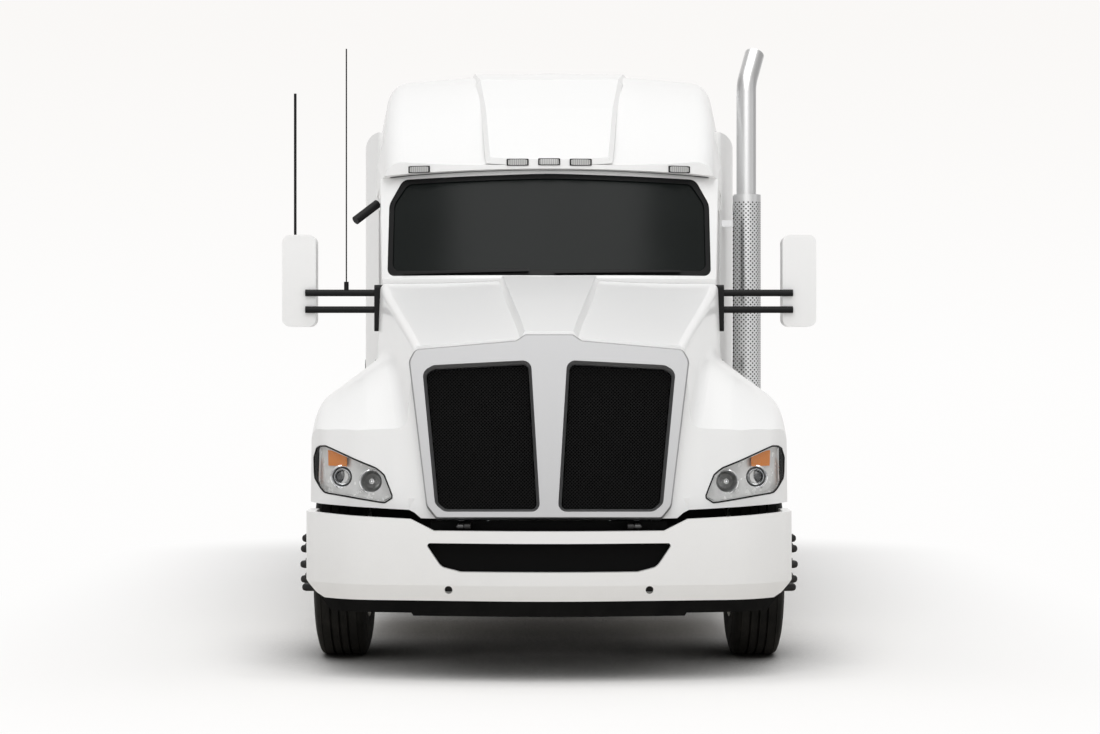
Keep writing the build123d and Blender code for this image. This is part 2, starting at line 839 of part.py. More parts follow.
with BuildPart() as bumper_shelf:
    extrude(Plane.XY.offset(shelf_height) * bumper_plan(bumper_wall + seat_gap), amount=shelf_thickness)
    with BuildSketch(front_plane(-50)):
        with Locations((0, shelf_height)):
            Rectangle(2 * shelf_half_width, 100)
    extrude(amount=-50 - rail_front_back + 10, mode=Mode.INTERSECT)

with BuildPart() as bumper_valance:
    add(bumper_slice(18, 42, 335, bumper_bottom))
    with BuildSketch(front_plane(-50)):
        with BuildLine():
            Polyline(*both_halves(((690, 335), (700, 350), (1120, 352), (1180, bumper_bottom))), close=True)
        make_face()
    extrude(amount=-bumper_depth_limit - 100, mode=Mode.INTERSECT)
with BuildPart() as bumper_trim:
    add(bumper_insert.part)
    add(bumper_shelf.part)
    add(bumper_valance.part)
bumper_trim.part.label = "bumper_trim"
export_step(bumper_trim.part, "parts/bumper_trim.step")

# Hood: a loft of cross sections, trimmed by the raked nose and by the cowl, then hollowed
hood_sections = (
    # back, top, shoulder x, shoulder z, waist x, waist z, crown x, crown z, side x, side z, bottom
    (20, 1700, 640, 1625, 670, 1130, 860, 1075, 1240, 960, 800),
    (500, 1810, 725, 1738, 765, 1400, 960, 1325, 1262, 1185, 800),
    (900, 1900, 790, 1822, 825, 1580, 1000, 1505, 1282, 1325, 700),
    (1300, 1990, 862, 1908, 890, 1670, 1026, 1590, 1290, 1398, 600),
    (2100, 2165, 1005, 2108, 1020, 1640, 1080, 1500, 1240, 1320, 600),
)
band_rise = 12
band_slope = 26
hood_band = ((20, 1700, 100), (700, 1855, 155), (1300, 1990, 215), (2100, 2165, 290))  # back, top, half width


def hood_section(row, inset):
    """One cross section of the hood, with its faces moved inwards by the inset."""
    back, top, shoulder_x, shoulder_z, waist_x, waist_z, crown_x, crown_z, side_x, side_z, bottom = row
    half = (
        (side_x - inset, bottom - inset),
        (side_x - inset, side_z - inset),
        (crown_x - inset / 2, crown_z - inset),
        (waist_x - inset, waist_z - inset),
        (shoulder_x - inset, shoulder_z - inset),
    )
    with BuildSketch(front_plane(back)) as section:
        with BuildLine():
            FilletPolyline(
                *half, (0, top - inset), *[(-x, z) for x, z in reversed(half)],
                radius=[0, 150, 150, 90, 45, 4500, 45, 90, 150, 150, 0], close=True,
            )
        make_face()
    return section.sketch


def hood_plan(inset):
    """The hood's plan at its lower edge: the nose in front, and the cowl's arc behind."""
    nose_half = ((620, 165), (800, 235), (1000, 340), (1200, 520), (1330, 800))
    half = [(x, front + back + inset) for x, back in nose_half]
    with BuildSketch() as plan:
        with BuildLine():
            FilletPolyline(
                (0, front + nose_back + inset), *half, (1400, front + 2400),
                (-1400, front + 2400), *[(-x, y) for x, y in reversed(half)],
                radius=[3000, 400, 300, 250, 300, 10, 0, 0, 10, 300, 250, 300, 400], close=True,
            )
        make_face()
    return plan.sketch


def band_section(row, inset):
    """One cross section of a raised band along a crown."""
    back, top, half_width = row
    with BuildSketch(front_plane(back)) as section:
        with BuildLine():
            Polyline(
                (-half_width - band_slope + inset, top - band_slope - inset),
                (-half_width + inset, top + band_rise - inset),
                (half_width - inset, top + band_rise - inset),
                (half_width + band_slope - inset, top - band_slope - inset),
                close=True,
            )
        make_face()
    return section.sketch


def hood_form(inset):
    """The hood as a solid, or the space inside it when inset by its wall."""
    drop = 300
    rise = 1700
    with BuildPart() as form:
        loft([hood_section(row, inset) for row in hood_sections])
        loft([band_section(row, inset) for row in hood_band], ruled=True)
        nose_plan = Plane(origin=(0, -drop * nose_rake, nose_bottom - drop)) * hood_plan(inset)
        extrude(nose_plan, amount=rise * sqrt(1 + nose_rake**2), dir=(0, nose_rake, 1), mode=Mode.INTERSECT)
    return form.part


def cowl_limit(gap):
    """The space ahead of the cab's front, kept clear by a gap."""
    with BuildPart() as space:
        with BuildSketch():
            with BuildLine():
                ThreePointArc(
                    (-cab_corner_x, front + cab_corner_back - gap),
                    (0, front + cab_front_back - gap),
                    (cab_corner_x, front + cab_corner_back - gap),
                )
                Polyline(
                    (cab_corner_x, front + cab_corner_back - gap),
                    (1500, front + cab_corner_back - gap - 25),
                    (1500, front - 200),
                    (-1500, front - 200),
                    (-1500, front + cab_corner_back - gap - 25),
                    (-cab_corner_x, front + cab_corner_back - gap),
                )
            make_face()
        extrude(amount=3000)
    return space.part


def lamp_outline(sign, grow):
    """A headlamp's outline as seen from the front, on one side."""
    points = ((1188, 1188), (1240, 1180), (1262, 1120), (1255, 1005), (1190, 935), (850, 894), (800, 922),
              (852, 1046), (896, 1078))
    with BuildSketch() as outline:
        with BuildLine():
            FilletPolyline(
                *[(sign * x, z) for x, z in points], radius=[30, 30, 60, 60, 40, 20, 20, 40, 30], close=True,
            )
        make_face()
        if grow:
            offset(amount=grow)
    return outline.sketch


grille_surround_half = (
    # x, height, corner radius
    (576, 823, 30),
    (628, 886, 60),
    (727, 1630, 60),
    (694, 1691, 40),
    (171, 1737, 20),
    (124, 1769, 14),
)
grille_opening = (
    # x, height, corner radius
    (62, 874, 26),
    (530, 874, 34),
    (568, 905, 34),
    (637, 1567, 34),
    (594, 1592, 34),
    (108, 1617, 30),
)
rake_angle = degrees(atan2(190, 940))
grille_plane = Plane(origin=(0, front + nose_back - 6, nose_bottom), x_dir=(1, 0, 0),
                     z_dir=(0, -cos(radians(rake_angle)), sin(radians(rake_angle))))


def on_grille(x, height):
    """A point on the grille's plane, from its place as seen from the front."""
    return x, (height - nose_bottom) / cos(radians(rake_angle))


def grille_face(inset):
    """The grille's outline on the raked plane, with its edge moved inwards."""
    half = [on_grille(x, height) for x, height, _ in grille_surround_half]
    radii = [radius for _, _, radius in grille_surround_half]
    with BuildSketch() as face:
        with BuildLine():
            FilletPolyline(
                *half, *[(-x, z) for x, z in reversed(half)], radius=radii + radii[::-1], close=True,
            )
        make_face()
        if inset:
            offset(amount=-inset)
    return face.sketch


def grille_hole(sign, grow):
    """One opening of the grille's surround, with its edge moved outwards."""
    with BuildSketch() as hole:
        with BuildLine():
            FilletPolyline(
                *[on_grille(sign * x, height) for x, height, _ in grille_opening],
                radius=[radius for _, _, radius in grille_opening], close=True,
            )
        make_face()
        if grow:
            offset(amount=grow)
    return hole.sketch


hood_outer = hood_form(0)
hood_room = cowl_limit(hood_gap)
with BuildPart() as hood_shell:
    add(hood_outer)
    add(hood_form(hood_wall), mode=Mode.SUBTRACT)
    add(hood_room, mode=Mode.INTERSECT)
    with BuildSketch(Plane.YZ.offset(-1400)):
        with Locations((steer_y, tyre_radius)):
            Circle(arch_radius)
    extrude(amount=2800, mode=Mode.SUBTRACT)
    with BuildSketch(front_plane(-50)):
        with BuildLine():
            Polyline(
                *both_halves(((1400, 500), (1400, 884), (720, 866), (690, 852), (640, nose_bottom))), close=True,
            )
        make_face()
    extrude(amount=-900, mode=Mode.SUBTRACT)
    for side, sign in sides:
        extrude(front_plane(-50) * lamp_outline(sign, 0), amount=-850, mode=Mode.SUBTRACT)
    extrude(grille_plane * grille_face(0), amount=-120, both=True, mode=Mode.SUBTRACT)
    for sign in (-1, 1):
        with BuildSketch(Plane.YZ.offset(sign * (rail_outer + 6))):
            with Locations((front + hood_pivot_back, hood_pivot_height)):
                Circle(horn_radius)
            with Locations((front + tilt_tube_back, tilt_tube_height)):
                Circle(tilt_tube_radius)
            with BuildLine():
                Polyline(
                    (front + hood_pivot_back, hood_pivot_height - horn_radius),
                    (front + tilt_tube_back - 50, hood_pivot_height - horn_radius),
                    (front + tilt_tube_back + tilt_tube_radius, tilt_tube_height),
                    (front + tilt_tube_back - tilt_tube_radius, tilt_tube_height),
                    (front + tilt_tube_back - 75, hood_pivot_height + horn_radius),
                    (front + hood_pivot_back, hood_pivot_height + horn_radius),
                    close=True,
                )
            make_face()
            with Locations((front + hood_pivot_back, hood_pivot_height)):
                Circle(hood_pin_radius + seat_gap, mode=Mode.SUBTRACT)
        extrude(amount=sign * lug_thickness)
        with BuildSketch(Plane.YZ.offset(sign * 690)):
            with Locations((front + (215 + tilt_tube_back) / 2, tilt_tube_height + 10)):
                Rectangle(tilt_tube_back - 215, 50)
        extrude(amount=sign * 30)
    with BuildSketch(Plane.YZ.offset(-720)):
        with Locations((front + tilt_tube_back, tilt_tube_height)):
            Circle(tilt_tube_radius)
    extrude(amount=1440)
hood_shell.part.label = "hood_shell"
export_step(hood_shell.part, "parts/hood_shell.step")

# Fender liners: a half drum over each steered wheel, inside the fender
liner_radius = 650
liner_wall = 6
liner_inner_x = 600
liner_outer_x = 1300
with BuildPart() as fender_liners:
    with BuildSketch(Plane.YZ.offset(liner_inner_x)):
        with Locations((steer_y, tyre_radius)):
            Circle(liner_radius + liner_wall)
            Circle(liner_radius, mode=Mode.SUBTRACT)
    extrude(amount=liner_outer_x - liner_inner_x)
    add(hood_form(hood_wall + seat_gap), mode=Mode.INTERSECT)
    with BuildSketch(Plane.YZ.offset(liner_inner_x - 1)):
        with Locations((steer_y - 800, 890 - 500), (steer_y + 800, 640 - 500)):
            Rectangle(1600, 1000)
    extrude(amount=liner_outer_x - liner_inner_x + 2, mode=Mode.SUBTRACT)
    add(cowl_limit(hood_gap + 30), mode=Mode.INTERSECT)
    mirror(about=Plane.YZ)
fender_liners.part.label = "fender_liners"
export_step(fender_liners.part, "parts/fender_liners.step")

# Grille: a satin surround with a centre bar that stands proud of the nose, and the mesh behind it
surround_depth = 50
surround_proud = 14
surround_edge = 9
with BuildPart() as grille_surround:
    extrude(grille_plane.offset(surround_proud - surround_edge) * grille_face(seat_gap),
            amount=surround_edge - surround_proud - surround_depth)
    extrude(grille_plane.offset(surround_proud - surround_edge) * grille_face(seat_gap),
            amount=surround_edge, taper=40)
    for side, sign in sides:
        extrude(grille_plane.offset(surround_proud + 1) * grille_hole(sign, 0),
                amount=-surround_proud - surround_depth - 1, mode=Mode.SUBTRACT)
        extrude(grille_plane.offset(surround_proud) * grille_hole(sign, 16), amount=-26, taper=32,
                mode=Mode.SUBTRACT)
grille_surround.part.label = "grille_surround"
export_step(grille_surround.part, "parts/grille_surround.step")

mesh_grow = 18
with BuildPart() as grille_mesh:
    for side, sign in sides:
        extrude(grille_plane.offset(-surround_depth - seat_gap) * grille_hole(sign, mesh_grow), amount=-10)
grille_mesh.part.label = "grille_mesh"
export_step(grille_mesh.part, "parts/grille_mesh.step")

# Headlamps: a bowl let into each fender, and a clear lens flush with it
lens_depth = 8
lamp_depth = 170
reflectors = (
    # x, height, bowl's outer and inner radius, lamp's radius, depth behind the lens
    (1089, 1022, 64, 54, 34, 60),
    (925, 1003, 62, 55, 14, 55),
)


def shifted_hood(distance):
    """The hood's outer form moved rearwards."""
    return Pos(0, distance, 0) * hood_outer


def lamp_block(sign, grow, start, end):
    """A block with the lamp's outline, between two depths behind the fender's surface."""
    with BuildPart() as block:
        extrude(front_plane(-50) * lamp_outline(sign, grow), amount=-850)
        add(shifted_hood(start), mode=Mode.INTERSECT)
        add(shifted_hood(end), mode=Mode.SUBTRACT)
    return block.part


with BuildPart() as headlamp_lenses:
    for side, sign in sides:
        add(lamp_block(sign, -seat_gap - 3, 0, lens_depth))
headlamp_lenses.part.label = "headlamp_lenses"
export_step(headlamp_lenses.part, "parts/headlamp_lenses.step")
with BuildPart() as headlamp_housings:
    for side, sign in sides:
        add(lamp_block(sign, -seat_gap, 0, lamp_depth))
        add(lamp_block(sign, -seat_gap - 2.7, 0, lens_depth + seat_gap), mode=Mode.SUBTRACT)
        add(lamp_block(sign, -12, 0, lamp_depth - 12), mode=Mode.SUBTRACT)
        for x, z, outer, inner, core, setback in reflectors:
            with BuildPart(mode=Mode.PRIVATE) as reflector:
                with BuildSketch(front_plane(-50)):
                    with Locations((sign * x, z)):
                        Circle(outer)
                        Circle(inner, mode=Mode.SUBTRACT)
                        Circle(core)
                extrude(amount=-850)
                add(lamp_block(sign, -seat_gap - 10, setback, lamp_depth - 6), mode=Mode.INTERSECT)
            add(reflector.part)
headlamp_housings.part.label = "headlamp_housings"
export_step(headlamp_housings.part, "parts/headlamp_housings.step")

# Cab: a swept front, tapered sides, a raked windshield and a roof cut along the seam
side_taper = (cab_rear_x - cab_corner_x) / (cab_rear_back - cab_corner_back)
seam_slope = (seam_front_height - seam_rear_height) / (cab_rear_back - 2340)


def cab_prism(inset, bottom):
    """The cab's plan standing upright from a height."""
    side_x = cab_corner_x - inset
    with BuildPart() as prism:
        with BuildSketch(Plane.XY.offset(bottom)):
            with BuildLine():
                ThreePointArc(
                    (-side_x, front + cab_corner_back + inset),
                    (0, front + cab_front_back + inset),
                    (side_x, front + cab_corner_back + inset),
                )
                Polyline(
                    (side_x, front + cab_corner_back + inset),
                    (cab_rear_x - inset, front + cab_rear_back - inset),
                    (-cab_rear_x + inset, front + cab_rear_back - inset),
                    (-side_x, front + cab_corner_back + inset),
                )
            make_face()
        extrude(amount=3000 - bottom)
    return prism.part


def behind_windshield(inset):
    """All that lies behind the windshield's raked and curved surface, moved in by an inset."""
    shift = inset * sqrt(1 + windshield_lean**2)
    low = cowl_height - 300
    start = -300 * windshield_lean + shift
    half_chord = cab_corner_x * 1.2
    sweep = (windshield_corner_back - windshield_front_back) * 1.44
    with BuildPart() as region:
        with BuildSketch(Plane.XY.offset(low)):
            with BuildLine():
                ThreePointArc(
                    (-half_chord, front + windshield_front_back + sweep + start),
                    (0, front + windshield_front_back + start),
                    (half_chord, front + windshield_front_back + sweep + start),
                )
                Polyline(
                    (half_chord, front + windshield_front_back + sweep + start),
                    (half_chord, front + 4500),
                    (-half_chord, front + 4500),
                    (-half_chord, front + windshield_front_back + sweep + start),
                )
            make_face()
        extrude(amount=1200 * sqrt(1 + windshield_lean**2), dir=(0, windshield_lean, 1))
    return region.part


def above_seam(drop):
    """All that lies above the seam between cab and roof, lowered by a drop."""
    back_a, back_b = 1500, 3300
    with BuildPart() as region:
        with BuildSketch(Plane.YZ.offset(-1500)):
            with BuildLine():
                Polyline(
                    (front + back_a, seam_front_height + (2340 - back_a) * seam_slope - drop),
                    (front + back_b, seam_front_height + (2340 - back_b) * seam_slope - drop),
                    (front + back_b, 4200),
                    (front + back_a, 4200),
                    close=True,
                )
            make_face()
        extrude(amount=3000)
    return region.part


def cab_form(inset, bottom):
    """The cab as a solid, or the space inside it when inset by its wall."""
    with BuildPart() as form:
        add(cab_prism(inset, bottom))
        with BuildSketch(Plane.XY.offset(cowl_height - inset)):
            Rectangle(4000, 10000)
        extrude(amount=3000, mode=Mode.SUBTRACT)
    with BuildPart() as upper:
        add(cab_prism(inset, cowl_height - inset))
        add(behind_windshield(inset), mode=Mode.INTERSECT)
    with BuildPart() as both:
        add(form.part)
        add(upper.part)
        add(above_seam(inset), mode=Mode.SUBTRACT)
    return both.part


def windshield_prism(inset):
    """The windshield's outline from the front, extended rearwards."""
    half = ((965 - inset, 2142 + inset), (974 - inset, 2590), (893 - inset, 2745 - inset), (0, 2768 - inset))
    with BuildSketch() as outline:
        with BuildLine():
            ring = [(0, 2136 + inset)] + list(half) + [(-x, z) for x, z in reversed(half) if x]
            FilletPolyline(*ring, radius=[3000, 45, 110, 60, 3000, 60, 110, 45], close=True)
        make_face()
    with BuildPart() as prism:
        extrude(front_plane(1800) * outline.sketch, amount=-1000)
    return prism.part


side_angle = atan2(cab_rear_x - cab_corner_x, cab_rear_back - cab_corner_back)
door_plane = Plane(  # the cab's left side, with x along it to the back, y up and the normal outwards
    origin=(cab_corner_x, front + cab_corner_back, 0),
    x_dir=(sin(side_angle), cos(side_angle), 0),
    z_dir=(cos(side_angle), -sin(side_angle), 0),
)
along = sqrt(1 + side_taper**2)
door_outline = (
    ((door_front_back, door_bottom), 40),
    ((door_rear_back, door_bottom), 60),
    ((door_rear_back, door_top), 60),
    ((2655, door_top), 90),
    ((2290, 2120), 160),
    ((door_front_back, 2020), 100),
)
door_window = (
    ((2385, 2010), 50),
    ((3060, 2010), 60),
    ((3060, 2580), 60),
    ((2720, 2580), 80),
    ((2385, 2110), 60),
)


def on_door(rows):
    """An outline on the door's plane, from distances back and heights with corner radii."""
    points = [((back - cab_corner_back) * along, z) for (back, z), _ in rows]
    with BuildSketch() as outline:
        with BuildLine():
            FilletPolyline(*points, radius=[radius for _, radius in rows], close=True)
        make_face()
    return outline.sketch


door_depth = 56
hinge_x = cab_corner_x + (door_front_back - cab_corner_back) * side_taper
hinge_heights = (1180, 1820)
hinge_radius = 12
hinge_pin_radius = 6
barrel_height = 70
hinge_lug_height = 25
hinge_clearance = 5


def hinge_column(radius, bottom, top):
    """A round column on the left door's hinge axis."""
    with BuildPart() as column:
        with BuildSketch(Plane.XY.offset(bottom)):
            with Locations((hinge_x, front + door_front_back)):
                Circle(radius)
        extrude(amount=top - bottom)
    return column.part


def both_sides(piece):
    """A piece of the left side and its mirror image on the right."""
    with BuildPart() as copy:
        mirror(piece, about=Plane.YZ)
    return piece, copy.part


opening_x = 780
opening_top = 2480
with BuildPart() as cab_shell:
    add(cab_form(0, cab_bottom))
    add(cab_form(cab_wall, cab_floor), mode=Mode.SUBTRACT)
    with BuildPart(mode=Mode.PRIVATE) as under_room:
        add(cab_form(cab_wall, cab_bottom - 10))
        with BuildSketch(Plane.XY.offset(cab_floor - floor_thickness)):
            Rectangle(4000, 10000)
        extrude(amount=3000, mode=Mode.SUBTRACT)
    add(under_room.part, mode=Mode.SUBTRACT)
    with BuildPart(mode=Mode.PRIVATE) as glass_opening:
        add(behind_windshield(-20))
        add(behind_windshield(cab_wall + 6), mode=Mode.SUBTRACT)
        add(windshield_prism(0), mode=Mode.INTERSECT)
    add(glass_opening.part, mode=Mode.SUBTRACT)
    with BuildPart(mode=Mode.PRIVATE) as door_opening:
        with BuildSketch(mode=Mode.PRIVATE) as opening:
            add(on_door(door_outline))
            offset(amount=door_gap)
        extrude(door_plane.offset(20) * opening.sketch, amount=-20 - door_depth - 8)
        mirror(about=Plane.YZ)
    add(door_opening.part, mode=Mode.SUBTRACT)
    for height in hinge_heights:
        barrel_room = hinge_column(
            hinge_radius + hinge_clearance, height - hinge_clearance, height + barrel_height + hinge_clearance)
        low_lug = hinge_column(hinge_radius, height - 1 - hinge_lug_height, height - 1)
        high_lug = hinge_column(
            hinge_radius, height + barrel_height + 1, height + barrel_height + 1 + hinge_lug_height)
        pin = hinge_column(hinge_pin_radius, height - 2, height + barrel_height + 2)
        for piece in both_sides(barrel_room):
            add(piece, mode=Mode.SUBTRACT)
        for column in (low_lug, high_lug, pin):
            for piece in both_sides(column):
                add(piece)
    with BuildSketch(front_plane(cab_rear_back + 50)):
        with Locations((0, (cab_floor + opening_top) / 2)):
            RectangleRounded(2 * opening_x, opening_top - cab_floor, 80)
    extrude(amount=50 + cab_wall + 20, mode=Mode.SUBTRACT)
    with BuildSketch(front_plane(1800)):
        with Locations((0, cab_bottom)):
            Rectangle(1000, 2 * 100)
    extrude(amount=-1600, mode=Mode.SUBTRACT)
    for back in (2200, 3050):
        for sign in (-1, 1):
            with BuildSketch(Plane.XY.offset(rail_top)):
                with Locations((sign * (rail_inner + rail_outer) / 2, front + back)):
                    Circle(38)
            extrude(amount=cab_floor - floor_thickness - rail_top)
cab_shell.part.label = "cab_shell"
export_step(cab_shell.part, "parts/cab_shell.step")

# Windshield: a black frame in the cab's opening with the wipers at its foot, and the glass
glass_thickness = 6
frame_width = 30
with BuildPart() as wipers:
    for start_x, end_x in ((-870, -120), (30, 780)):
        with BuildSketch(front_plane(1850)):
            with BuildLine():
                Polyline((start_x, 2150), (end_x, 2162), (end_x, 2176), (start_x, 2166), close=True)
            make_face()
        extrude(amount=-500)
    add(behind_windshield(-10), mode=Mode.INTERSECT)
    add(behind_windshield(7), mode=Mode.SUBTRACT)
with BuildPart() as windshield_frame:
    add(behind_windshield(6))
    add(behind_windshield(34), mode=Mode.SUBTRACT)
    add(windshield_prism(0.3), mode=Mode.INTERSECT)
    add(windshield_prism(frame_width), mode=Mode.SUBTRACT)
    add(wipers.part)
windshield_frame.part.label = "windshield_frame"
export_step(windshield_frame.part, "parts/windshield_frame.step")
with BuildPart() as windshield_glass:
    add(behind_windshield(14))
    add(behind_windshield(14 + glass_thickness), mode=Mode.SUBTRACT)
    add(windshield_prism(frame_width + seat_gap), mode=Mode.INTERSECT)

# Doors: a panel as thick as the wall, with its window cut, a handle and the glass
for side, sign in sides:
    with BuildPart() as door:
        extrude(door_plane * on_door(door_outline), amount=-door_depth)
        extrude(door_plane * on_door(door_window), amount=-door_depth, mode=Mode.SUBTRACT)
        with BuildSketch(door_plane):
            with Locations(((2990 - cab_corner_back) * along, 1900)):
                RectangleRounded(150, 34, 15)
        extrude(amount=26)
        for height in hinge_heights:
            for low, high in (
                (height - 1 - hinge_lug_height - hinge_clearance, height - 1 + hinge_clearance),
                (height + barrel_height + 1 - hinge_clearance,
                 height + barrel_height + 1 + hinge_lug_height + hinge_clearance),
            ):
                add(hinge_column(hinge_radius + hinge_clearance, low, high), mode=Mode.SUBTRACT)
            add(hinge_column(hinge_radius, height, height + barrel_height))
            add(hinge_column(hinge_pin_radius + seat_gap, height, height + barrel_height), mode=Mode.SUBTRACT)
        if side == "right":
            mirror(about=Plane.YZ, mode=Mode.REPLACE)
    door.part.label = f"door_{side}"
    export_step(door.part, f"parts/door_{side}.step")
    with BuildPart() as door_glass:
        with BuildSketch(mode=Mode.PRIVATE) as pane:
            add(on_door(door_window))
            offset(amount=-seat_gap)
        extrude(door_plane.offset(-22) * pane.sketch, amount=-glass_thickness)
        if side == "right":
            mirror(about=Plane.YZ, mode=Mode.REPLACE)
    door_glass.part.label = f"door_glass_{side}"
    export_step(door_glass.part, f"parts/door_glass_{side}.step")

# Sleeper: a box that flares out behind the cab, with rounded shoulders and a window each side
sleeper_wall = 55
sleeper_bottom = cab_bottom


def sleeper_form(inset, bottom):
    """The sleeper as a solid, or the space inside it when inset by its wall."""
    half_plan = (
        (cab_rear_x - inset, front + sleeper_front_back + inset),
        (sleeper_half_width - inset, front + sleeper_flare_back),
        (sleeper_half_width - inset, front + sleeper_rear_back - inset),
    )
    with BuildPart() as form:
        with BuildSketch(Plane.XY.offset(bottom)):
            with BuildLine():
                FilletPolyline(
                    *half_plan, *[(-x, y) for x, y in reversed(half_plan)],
                    radius=[40, 700, 60, 60, 700, 40], close=True,
                )
            make_face()
        extrude(amount=sleeper_top - inset - bottom)
        with BuildSketch(front_plane(sleeper_front_back - 50)):
            with BuildLine():
                FilletPolyline(
                    (sleeper_half_width + 1 - inset, bottom - 50),
                    (sleeper_half_width + 1 - inset, sleeper_top - inset),
                    (-sleeper_half_width - 1 + inset, sleeper_top - inset),
                    (-sleeper_half_width - 1 + inset, bottom - 50),
                    radius=[0, sleeper_shoulder, sleeper_shoulder, 0], close=True,
                )
            make_face()
        extrude(amount=-2500, mode=Mode.INTERSECT)
    return form.part


side_window_back = 4150
side_window_height = 2250
sleeper_outer = sleeper_form(0, sleeper_bottom)
with BuildPart() as sleeper_shell:
    add(sleeper_outer)
    add(sleeper_form(sleeper_wall, cab_floor), mode=Mode.SUBTRACT)
    with BuildPart(mode=Mode.PRIVATE) as locker_room:
        add(sleeper_form(sleeper_wall, sleeper_bottom - 10))
        with BuildSketch(Plane.XY.offset(cab_floor - floor_thickness)):
            Rectangle(4000, 10000)
        extrude(amount=3000, mode=Mode.SUBTRACT)
    add(locker_room.part, mode=Mode.SUBTRACT)
    with BuildSketch(Plane.YZ.offset(-1400)):
        with Locations((front + side_window_back, side_window_height)):
            RectangleRounded(480, 300, 60)
    extrude(amount=2800, mode=Mode.SUBTRACT)
    with BuildSketch(front_plane(sleeper_front_back - 50)):
        with Locations((0, (cab_floor + opening_top) / 2)):
            RectangleRounded(2 * opening_x, opening_top - cab_floor, 80)
    extrude(amount=-50 - sleeper_wall - 20, mode=Mode.SUBTRACT)
    with BuildSketch(front_plane(3100)):
        with Locations((0, sleeper_bottom)):
            Rectangle(1000, 2 * 100)
    extrude(amount=-2200, mode=Mode.SUBTRACT)
    for back in (3400, 4900):
        for sign in (-1, 1):
            with BuildSketch(Plane.XY.offset(rail_top)):
                with Locations((sign * (rail_inner + rail_outer) / 2, front + back)):
                    Circle(38)
            extrude(amount=cab_floor - floor_thickness - rail_top)
sleeper_shell.part.label = "sleeper_shell"
export_step(sleeper_shell.part, "parts/sleeper_shell.step")

with BuildPart() as fixed_windows:
    add(windshield_glass.part)
    for sign in (-1, 1):
        with BuildSketch(Plane.YZ.offset(sign * (sleeper_half_width - 20))):
            with Locations((front + side_window_back, side_window_height)):
                RectangleRounded(480 - 2 * seat_gap, 300 - 2 * seat_gap, 60 - seat_gap)
        extrude(amount=-sign * glass_thickness)
fixed_windows.part.label = "fixed_windows"
export_step(fixed_windows.part, "parts/fixed_windows.step")

# Roof cap: a loft that climbs from the windshield to the full height over the sleeper
roof_wall = 34
roof_sections = (
    # back, top, shoulder x, shoulder z, side x at the bottom
    (2240, 2805, 945, 2762, 1010),
    (2600, 2975, 985, 2905, 1062),
    (3000, 3225, 1020, 3130, 1125),
    (3500, 3470, 1042, 3375, 1195),
    (4100, 3605, 1050, 3515, 1255),
    (5050, 3617, 1050, 3527, 1262),
)
roof_band = (
    # back, top, half width
    (2240, 2805, 350),
    (3000, 3222, 400),
    (3500, 3462, 450),
    (4000, 3560, 500),
)
roof_shoulder_radius = 130
roof_bottom = 2600


def roof_section(row, inset):
    """One cross section of the roof cap, with its faces moved inwards by the inset."""
    back, top, shoulder_x, shoulder_z, side_x = row
    half = ((side_x - inset, roof_bottom), (shoulder_x - inset, shoulder_z - inset))
    with BuildSketch(front_plane(back)) as section:
        with BuildLine():
            FilletPolyline(
                *half, (0, top - inset), *[(-x, z) for x, z in reversed(half)],
                radius=[0, roof_shoulder_radius - inset, 5000, roof_shoulder_radius - inset, 0], close=True,
            )
        make_face()
    return section.sketch


def roof_plan(inset):
    """The roof cap's plan: a curved brow, the cab's sides and straight sides over the sleeper."""
    half = (
        (cab_corner_x + 250 * side_taper + 8 - inset, front + 2525 + inset),
        (cab_rear_x + 8 - inset, front + cab_rear_back),
        (1160 - inset, front + sleeper_flare_back),
        (1160 - inset, front + sleeper_rear_back - inset),
    )
    with BuildSketch(Plane.XY.offset(roof_bottom - 50)) as plan:
        with BuildLine():
            ThreePointArc((-half[0][0], half[0][1]), (0, front + 2300 + inset), half[0])
            Polyline(*half, *[(-x, y) for x, y in reversed(half)])
        make_face()
    return plan.sketch


def roof_form(inset):
    """The roof cap as a solid, or the space inside it when inset by its wall."""
    with BuildPart() as form:
        loft([roof_section(row, inset) for row in roof_sections])
        loft([band_section(row, inset) for row in roof_band], ruled=True)
        extrude(roof_plan(inset), amount=1300, mode=Mode.INTERSECT)
    return form.part


with BuildPart() as roof_cap:
    add(roof_form(0))
    with BuildPart(mode=Mode.PRIVATE) as under_seam:
        with BuildSketch(Plane.YZ.offset(-1500)):
            with BuildLine():
                Polyline(
                    (front + 2000, 2500),
                    (front + sleeper_front_back, 2500),
                    (front + sleeper_front_back, seam_rear_height),
                    (front + cab_rear_back, seam_rear_height),
                    (front + 2000, seam_front_height + 340 * seam_slope),
                    close=True,
                )
            make_face()
        extrude(amount=3000)
    add(under_seam.part, mode=Mode.SUBTRACT)
    add(sleeper_outer, mode=Mode.SUBTRACT)
    add(roof_form(roof_wall), mode=Mode.SUBTRACT)
roof_cap.part.label = "roof_cap"
export_step(roof_cap.part, "parts/roof_cap.step")

# Side extenders: a panel on each rear corner of the sleeper
extender_length = 400
with BuildPart() as side_extenders:
    for sign in (-1, 1):
        with BuildSketch(Plane.YZ.offset(sign * (sleeper_half_width - 65))):
            with BuildLine():
                FilletPolyline(
                    (front + sleeper_rear_back, 1050),
                    (front + sleeper_rear_back + extender_length, 1050),
                    (front + sleeper_rear_back + extender_length, 2950),
                    (front + sleeper_rear_back, 3000),
                    radius=[0, 80, 80, 0], close=True,
                )
            make_face()
        extrude(amount=-sign * 25)
side_extenders.part.label = "side_extenders"
export_step(side_extenders.part, "parts/side_extenders.step")

